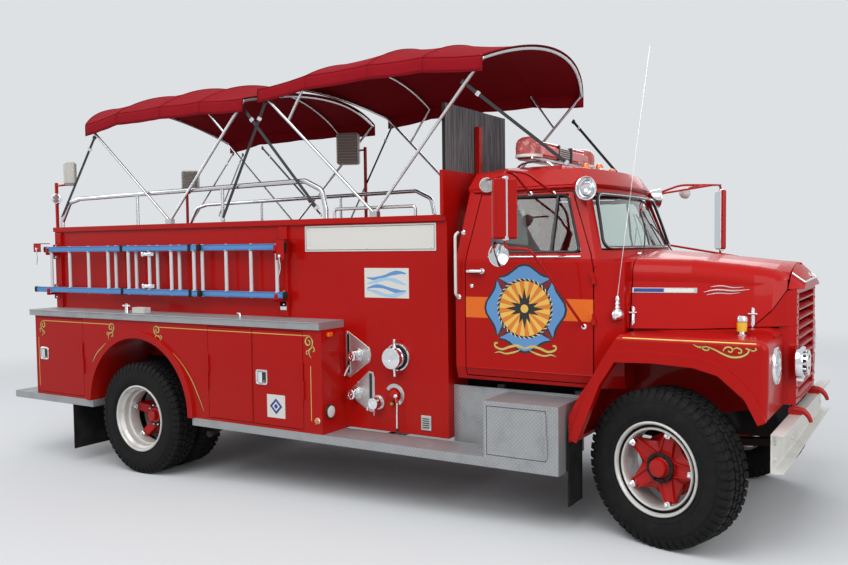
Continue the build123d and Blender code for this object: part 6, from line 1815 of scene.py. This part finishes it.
class TRUCK_OT_ladder(bpy.types.Operator):
    """Build the two ladder sections with their caps, clips and hooks"""

    bl_idname = "truck.ladder"
    bl_label = "Ladder"

    def execute(self, context):
        job = Job("ladder_sections")
        for y, low, high, first in LADDERS:
            for z, (x0, x1) in zip(RAIL_Z, (low, high)):
                job.box(x0 + 0.03, x1 - 0.03, y - 0.0125, y + 0.0125, z - 0.026,
                        z + 0.026, 0.008, "blue_enamel")
                for lip in (-0.022, 0.022):
                    job.box(x0 + 0.03, x1 - 0.03, y - 0.0145, y + 0.0145, z + lip - 0.005,
                            z + lip + 0.005, 0.003, "blue_enamel")
                for end in (x0 + 0.022, x1 - 0.022):
                    job.box(end - 0.024, end + 0.024, y - 0.0165, y + 0.0165, z - 0.030,
                            z + 0.030, 0.010, "flap_rubber")
            for i in range(8):
                x = first + i * RUNG_PITCH
                rung = [(0.0155, z) for z in steps(1.618, 1.992, 2)]
                job.spin([(0.021, 1.622), (0.021, 1.630), *rung, (0.021, 1.980), (0.021, 1.988)], 16,
                         "rung_silver", Matrix.Translation((x, y, 0)))
                for z, up in ((2.036, 1), (1.574, -1)):
                    job.spin([(0.014, 0), (0.012, 0.004 * up), (0, 0.005 * up)], 14, "rung_silver",
                             Matrix.Translation((x, y, z)), flip=up < 0)
        for x in (-5.250, -4.330):
            for z in RAIL_Z:
                job.box(x - 0.022, x + 0.022, -1.036, -0.966, z - 0.034, z + 0.034, 0.006, "flap_rubber")
        for z in (1.655, 1.955):
            job.box(-4.960, -4.790, -1.042, -1.037, z - 0.016, z + 0.016, 0.003, "bright_chrome")
            job.spin([(0.022, -0.006), (0.022, 0.006), (0.014, 0.010), (0, 0.010)], 20, "bright_chrome",
                     facing_to((-4.930, -1.042, z), (0, -1, 0)))
            job.tube([(-4.905, -1.046, z), (-4.800, -1.050, z + 0.014)], 0.005, 8, "bright_chrome")
        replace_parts(job.make("chassis"), "ladder")
        hooks = Job("ladder_hooks")
        for x, low in ((-6.372, 1.560), (-3.300, 1.560), (-6.372, 1.970), (-3.300, 1.970)):
            hooks.box(x - 0.017, x + 0.017, -1.052, -0.936, low - 0.010, low + 0.004, 0.003, "red_enamel")
            hooks.box(x - 0.017, x + 0.017, -1.052, -1.040, low - 0.010, low + 0.052, 0.003, "red_enamel")
            hooks.box(x - 0.045, x + 0.045, -0.944, -0.936, low - 0.060, low + 0.090, 0.003, "red_enamel")
            for up in (-0.040, 0.070):
                hooks.spin([(0.010, 0), (0.008, 0.006), (0, 0.007)], 10, "bright_chrome",
                           facing_to((x, -0.944, low + up), (0, -1, 0)))
        for x0, x1, z0, z1 in ((-6.590, -6.470, 1.985, 2.075), (-3.290, -3.200, 1.900, 2.075)):
            hooks.box(x0, x1, -1.050, -1.044, z0, z1, 0.003, "red_enamel")
            hooks.box(x0, x1, -1.050, -0.936, z1 - 0.008, z1, 0.003, "red_enamel")
            middle = (x0 + x1) / 2
            hooks.spin([(0.014, 0), (0.014, 0.012), (0.006, 0.018), (0, 0.018)], 12, "bright_chrome",
                       facing_to((middle, -1.050, z0 + 0.030), (0, -1, 0)))
            chain = smooth_path([(middle, -1.060, z0 + 0.020), (middle + 0.010, -1.058, z0 - 0.060),
                                 (middle - 0.012, -1.052, z0 - 0.130)], 8)
            hooks.tube(chain, [0.004 + 0.002 * (i % 2) for i in range(len(chain))], 6, "bright_chrome")
        hooks.box(-3.345, -3.275, -0.944, -0.936, 1.470, 1.545, 0.003, "bright_chrome")
        hooks.make("chassis")
        return {"FINISHED"}


# The lockers and the rear
def paddle_latch(job, place, half=0.057):
    """A square pan latch with a folding handle and its lock."""
    frame_line = rounded_path([(half, half, 0.004), (-half, half, 0.004), (-half, -half, 0.004),
                               (half, -half, 0.004)],
                              0.016, 4, closed=True)
    job.box(-half, half, -half, half, 0, 0.004, 0.002, "brushed_plate", place)
    job.lay(pipe(frame_line, 0.006, 8, closed=True), "bright_chrome", place)
    job.box(0.004, half - 0.012, -half + 0.014, half - 0.014, 0.002, 0.005, 0.001, "black_film_and_painted_shade", place)
    rows = [[(x, y, 0.004 + 0.013 * sin(pi * k / 8)) for y in (-half + 0.014, half - 0.014)]
            for k, x in enumerate(steps(-half + 0.012, 0.006, 8))]
    job.lay(cloth_grid(rows), "bright_chrome", place)
    job.spin([(0.007, 0), (0.007, 0.006), (0, 0.006)], 12, "brass",
             place @ Matrix.Translation((0.028, -0.030, 0.004)))


def marker(job, place, radius, finish, ring="bright_chrome"):
    """A round lamp or reflector in a ring."""
    job.spin([(radius * 1.22, 0), (radius * 1.20, 0.008), (radius * 1.02, 0.014), (radius * 0.98, 0.008)],
             32, ring, place)
    job.spin([(radius, 0.006), (radius * 0.92, 0.014), (radius * 0.5, 0.020), (0, 0.021)], 32, finish, place)


class TRUCK_OT_locker_fittings(bpy.types.Operator):
    """Fit the latches, reflectors, cleats and rear lamps of the body"""

    bl_idname = "truck.locker_fittings"
    bl_label = "Locker fittings"

    def execute(self, context):
        body = Job("body_fittings")
        for name, side in SIDE.items():
            for door, x, z in (("rear", -6.207, 0.972), ("front", -3.315, 0.936)):
                job = Job(f"latch_{door}_{name}")
                paddle_latch(job, on_flank(x, LOCKER_SKIN, z, side))
                job.make(f"locker_door_{door}_{name}")
            marker(body, on_flank(-2.735, LOCKER_SKIN, 0.626, side), 0.024, "amber_lens")
            ahead = facing_to((-2.6898, side * 1.120, 0.690), (1, 0, 0))
            marker(body, ahead, 0.050, "sign_white", ring="black_film_and_painted_shade")
            body.box(-2.690, -2.664, *sorted((side * 1.095, side * 1.155)), 1.290, 1.325, 0.006, "amber_lens")
            cleat = [(-5.008, side * 1.180, 1.410), (-5.008, side * 1.180, 1.470),
                     (-5.004, side * 1.180, 1.500)]
            body.tube(cleat, [0.022, 0.016, 0.012], 12, "bright_chrome")
            body.tube([(-5.060, side * 1.180, 1.478), (-4.956, side * 1.180, 1.478)],
                      0.009, 10, "bright_chrome")
            body.box(-4.930, -4.760, *sorted((side * 1.110, side * 1.190)), 1.409, 1.466,
                     0.006, "speaker_shell")
            knob = [(-3.591, side * 1.170, 1.409), (-3.591, side * 1.170, 1.434),
                    (-3.600, side * 1.170, 1.448), (-3.622, side * 1.170, 1.452)]
            body.tube(smooth_path(knob, 4), 0.009, 10, "bright_chrome")
            body.tube([(x, side * 1.2385, 1.405) for x in (-6.412, -2.700)], 0.005, 8, "tread_plate")
            for z, radius, finish in ((1.150, 0.055, "red_lens"), (0.960, 0.045, "amber_lens")):
                marker(body, facing_to((-6.345, side * 1.080, z), (-1, 0, 0)), radius, finish)
        rear = facing_to((-6.376, -0.912, 2.535), (0.35, -1, 0.1))
        body.spin([(0.012, -0.060), (0.034, -0.050), (0.048, -0.020), (0.050, 0.0),
                   (0.052, 0.006), (0.046, 0.010), (0.044, 0.004)], 32, "bright_chrome", rear)
        body.spin([(0.045, 0.004), (0.030, 0.012), (0, 0.015)], 28, "clear_lens", rear)
        body.box(-6.398, -6.370, -0.900, -0.880, 2.480, 2.520, 0.003, "black_film_and_painted_shade")
        body.make("chassis")
        horns = Job("speaker_boxes")
        for x, y, top, at, wide, tall, turn in (
            (-6.392, -0.896, 2.700, (-6.215, -0.862, 2.785), 0.205, 0.235, -0.60),
            (-6.392, 0.896, 2.700, (-6.290, 0.862, 2.825), 0.205, 0.225, 0.60),
            (-3.750, 0.920, 3.050, (-3.925, 0.860, 3.035), 0.240, 0.330, 0.45),
        ):
            horns.box(x - 0.014, x + 0.014, y - 0.013, y + 0.013, 2.237, top, 0.003, "red_enamel")
            place = Matrix.Translation(at) @ Matrix.Rotation(turn, 4, "Z")
            face = 1 if y < 0 else -1
            horns.box(-wide / 2, wide / 2, -0.058, 0.058, -tall / 2, tall / 2, 0.020, "speaker_shell", place)
            horns.box(-wide / 2 + 0.016, wide / 2 - 0.016,
                      *sorted((face * 0.054, face * 0.0605)), -tall / 2 + 0.016,
                      tall / 2 - 0.016, 0.002, "speaker_mesh", place)
            for z in steps(-tall / 2 + 0.03, tall / 2 - 0.03, 9):
                horns.box(-wide / 2 + 0.018, wide / 2 - 0.018,
                          *sorted((face * 0.059, face * 0.064)), z - 0.005, z + 0.005,
                          0.002, "speaker_shell", place)
            arm = [(x, y, top - 0.03), (x + (at[0] - x) * 0.5, y, top - 0.03),
                   (at[0], at[1], at[2] - tall / 2 + 0.01)]
            horns.tube(rounded_path(arm, 0.03, 4), 0.010, 8, "red_enamel")
        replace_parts(horns.make("chassis"), "speakers")
        return {"FINISHED"}


class TRUCK_OT_straps(bpy.types.Operator):
    """Pull the webbing straps of the canopies down to the rails"""

    bl_idname = "truck.straps"
    bl_label = "Canopy straps"

    def execute(self, context):
        job = Job("canopy_straps")
        for start, end in (
            ((-5.679, -0.960, 3.107), (-6.318, -0.900, 2.330)),
            ((-5.679, 0.960, 3.107), (-6.318, 0.900, 2.330)),
            ((-3.440, -0.965, 3.240), (-4.030, -0.905, 2.262)),
            ((-5.515, 0.950, 3.086), (-5.864, 0.900, 2.396)),
            ((-3.720, -0.960, 3.230), (-2.960, -0.905, 2.330)),
            ((-5.220, 0.960, 3.146), (-4.340, 0.905, 2.352)),
            ((-1.538, -0.962, 3.194), (-0.900, -0.560, 2.600)),
            ((-1.443, 0.962, 3.122), (-0.900, 0.600, 2.590)),
            ((-3.440, 0.965, 3.240), (-3.960, 0.905, 2.262)),
        ):
            start, end = Vector(start), Vector(end)
            along = (end - start).normalized()
            side = Vector((0.35, -1, 0)) if start.y < 0 else Vector((0.35, 1, 0))
            across = along.cross(side).normalized() * 0.0125
            out = along.cross(across).normalized() * 0.0012
            corners = [a * across + b * out for a, b in ((-1, -1), (1, -1), (1, 1), (-1, 1))]
            rows = [[start.lerp(end, t) + corner for corner in corners] for t in steps(0, 1, 4)]
            job.lay(cloth_grid(rows, wrap=True), "strap_web")
            for t in (0.0, 0.14, 1.0):
                spot = start.lerp(end, t)
                turn = facing_to(spot, side, along)
                job.box(-0.019, 0.019, -0.016, 0.016, -0.006, 0.006, 0.003,
                        "bright_chrome" if t else "strap_web", turn)
        job.make("chassis")
        return {"FINISHED"}


# The seats
SEAM_DIP = 0.012


def cushion(job, x0, x1, y0, y1, z0, z1, rolls, along_x=True):
    """A stuffed pad with rolls sewn across it, bulging between its seams."""
    def spot(u, v):
        edge = (1 - (2 * u - 1) ** 8) * (1 - (2 * v - 1) ** 8)
        count = rolls * (u if along_x else v)
        puff = abs(sin(pi * count)) ** 0.55
        high = z1 - 0.045 * (1 - edge) - SEAM_DIP * (1 - puff) - 0.004 * sin(u * 37 + v * 11)
        return (x0 + (x1 - x0) * u, y0 + (y1 - y0) * v, high)
    nu, nv = (rolls * 6, 10) if along_x else (10, rolls * 6)
    rows = []
    for i in range(nu + 1):
        u = i / nu
        row = [spot(u, k / nv) for k in range(nv + 1)]
        rows.append([(row[0][0], y0, z0), *row, (row[0][0], y1, z0)])
    rows = [[(p[0], p[1], z0) for p in rows[0]], *rows, [(p[0], p[1], z0) for p in rows[-1]]]
    job.lay(cloth_grid(rows), "bench_vinyl")


class TRUCK_OT_seats(bpy.types.Operator):
    """Upholster the cab seat and the two benches of the bed"""

    bl_idname = "truck.seats"
    bl_label = "Seats"

    def execute(self, context):
        job, base = Job("seat_cushions"), Job("seat_bases")
        base.box(-1.480, -1.040, -0.780, 0.780, CAB_FLOOR, CAB_FLOOR + 0.250, 0.006, "dash_paint")
        cushion(job, -1.470, -1.035, -0.775, 0.775, CAB_FLOOR + 0.250, CAB_FLOOR + 0.385, 14, along_x=False)
        lean = Matrix.Translation((-1.585, 0, CAB_FLOOR + 0.360)) @ Matrix.Rotation(radians(84), 4, "Y")
        back = Job("back")
        cushion(back, -0.470, 0.0, -0.775, 0.775, 0.005, 0.120, 14, along_x=False)
        job.lay((back.verts, back.faces), "bench_vinyl", lean)
        for side in (-1, 1):
            y0, y1 = sorted((side * 0.430, side * 0.872))
            base.box(-6.297, -2.906, y0, y1, 1.409, 1.700, 0.006, "dash_paint")
            for x0, x1 in ((-6.290, -5.175), (-5.165, -4.050), (-4.040, -2.912)):
                cushion(job, x0, x1, *sorted((side * 0.432, side * 0.850)), 1.700, 1.800, 9)
                hinge = Matrix.Translation((0, side * 0.878, 1.790))
                turn = hinge @ Matrix.Rotation(side * radians(86), 4, "X")
                pad = Job("pad")
                cushion(pad, x0, x1, *sorted((0.0, side * 0.392)), 0.002, 0.070, 9)
                job.lay((pad.verts, pad.faces), "bench_vinyl", turn)
        base.make("chassis")
        seat = job.make("chassis", crease=60)
        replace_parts(seat, "seats")
        return {"FINISHED"}


# The stage
# The camera that was fitted to the photograph: its picture and lens in pixels, its place in the level truck
PICTURE_W, PICTURE_H, FOCAL = 848, 565, 851.06
CENTRE_U, CENTRE_V = 419.58, 287.69
CAMERA_AT = (1.47491, -6.47961, 2.00921)
CAMERA_AHEAD = (-0.524819, 0.849748, -0.049924)
CAMERA_UP = (-0.015981, 0.048804, 0.998681)
FLOOR_HALF = 60
LAMPS = (
    # name, place, aim, size, watts
    ("lamp_high", (1.5, -7.0, 9.5), (0, 0, 1.0), 9.0, 620),
    ("lamp_front", (9.0, -4.5, 4.5), (1.5, 0, 1.3), 6.0, 240),
    ("lamp_rear", (-9.5, -3.0, 6.0), (-2.0, 0, 1.5), 6.0, 200),
    ("lamp_far", (0.0, 8.5, 7.0), (0, 0, 1.5), 7.0, 220),
)


class TRUCK_OT_finishes(bpy.types.Operator):
    """Mix the finishes and coat the solids of the frame with them"""

    bl_idname = "truck.finishes"
    bl_label = "Finishes"

    def execute(self, context):
        mix_finishes(colours())
        for finish, nodes in COATS.items():
            for node in nodes:
                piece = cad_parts[node]
                piece.data.materials.clear()
                piece.data.materials.append(FINISHES[finish])
        return {"FINISHED"}


class TRUCK_OT_stage(bpy.types.Operator):
    """Lay the pale floor and backdrop, hang the lamps and set the camera"""

    bl_idname = "truck.stage"
    bl_label = "Stage"

    def execute(self, context):
        scene = context.scene
        scene.view_settings.view_transform = "Standard"
        view = bpy.data.cameras.new("camera")
        view.sensor_width, view.lens = 36.0, 36.0 * FOCAL / PICTURE_W
        view.shift_x = (PICTURE_W / 2 - CENTRE_U) / PICTURE_W
        view.shift_y = (CENTRE_V - PICTURE_H / 2) / PICTURE_W
        view.clip_start, view.clip_end = 0.1, 200
        camera = bpy.data.objects.new("camera", view)
        scene.collection.objects.link(camera)
        ahead = Vector(CAMERA_AHEAD)
        right = ahead.cross(Vector(CAMERA_UP)).normalized()
        turn = Matrix((right, right.cross(ahead), -ahead)).transposed().to_4x4()
        camera.matrix_world = STANCE @ Matrix.Translation(CAMERA_AT) @ turn
        scene.camera = camera
        job = Job("stage_floor")
        line = steps(-FLOOR_HALF, FLOOR_HALF, 12)
        job.lay(cloth_grid([[(x, y, 0.0) for x in line] for y in line]), "stage_floor")
        floor = job.make(None, stance=Matrix.Identity(4))
        for name, place, aim, size, watts in LAMPS:
            glow = bpy.data.lights.new(name, "AREA")
            glow.shape, glow.size, glow.energy = "DISK", size, watts
            lamp = bpy.data.objects.new(name, glow)
            scene.collection.objects.link(lamp)
            lamp.location = place
            lamp.rotation_mode = "QUATERNION"
            lamp.rotation_quaternion = (Vector(aim) - Vector(place)).to_track_quat("-Z", "Y")
        sky = bpy.data.worlds.new("sky")
        scene.world = sky
        dome = Pot("sky", sky)
        lit = dome.add("ShaderNodeBackground", {}, {"Color": (0.94, 0.97, 1.0, 1), "Strength": 0.60})
        shown = dome.add("ShaderNodeBackground", {}, {"Color": shade4(BACKDROP), "Strength": 1.0})
        either = dome.add("ShaderNodeMixShader", {}, {0: seen_ray(dome), 1: lit, 2: shown})
        dome.add("ShaderNodeOutputWorld", {}, {"Surface": either})
        return {"FINISHED"}


OPERATORS = (
    TRUCK_OT_finishes, TRUCK_OT_stage, TRUCK_OT_canopies, TRUCK_OT_tyres, TRUCK_OT_wheels,
    TRUCK_OT_signwork, TRUCK_OT_pump, TRUCK_OT_hood_trim, TRUCK_OT_front_lamps, TRUCK_OT_bumper,
    TRUCK_OT_cab, TRUCK_OT_light_bar, TRUCK_OT_ladder, TRUCK_OT_locker_fittings, TRUCK_OT_straps,
    TRUCK_OT_seats,
)


class TRUCK_PT_panel(bpy.types.Panel):
    """The pieces of the truck, their sizes and their colours"""

    bl_idname = "TRUCK_PT_panel"
    bl_label = "Fire engine"
    bl_space_type = "VIEW_3D"
    bl_region_type = "UI"
    bl_category = "Fire engine"

    def draw(self, context):
        for group in (context.scene.truck_colours, context.scene.truck_sizes):
            box = self.layout.box()
            for name in group.__annotations__:
                box.prop(group, name)
        for operator in OPERATORS:
            self.layout.operator(operator.bl_idname)


CLASSES = (TruckColours, TruckSizes, *OPERATORS, TRUCK_PT_panel)


def register():
    for kind in CLASSES:
        bpy.utils.register_class(kind)
    bpy.types.Scene.truck_colours = bpy.props.PointerProperty(type=TruckColours)
    bpy.types.Scene.truck_sizes = bpy.props.PointerProperty(type=TruckSizes)


def unregister():
    del bpy.types.Scene.truck_sizes
    del bpy.types.Scene.truck_colours
    for kind in reversed(CLASSES):
        bpy.utils.unregister_class(kind)


def main():
    register()
    for operator in OPERATORS:
        group, name = operator.bl_idname.split(".")
        getattr(getattr(bpy.ops, group), name)()


if __name__ == "__main__":
    main()
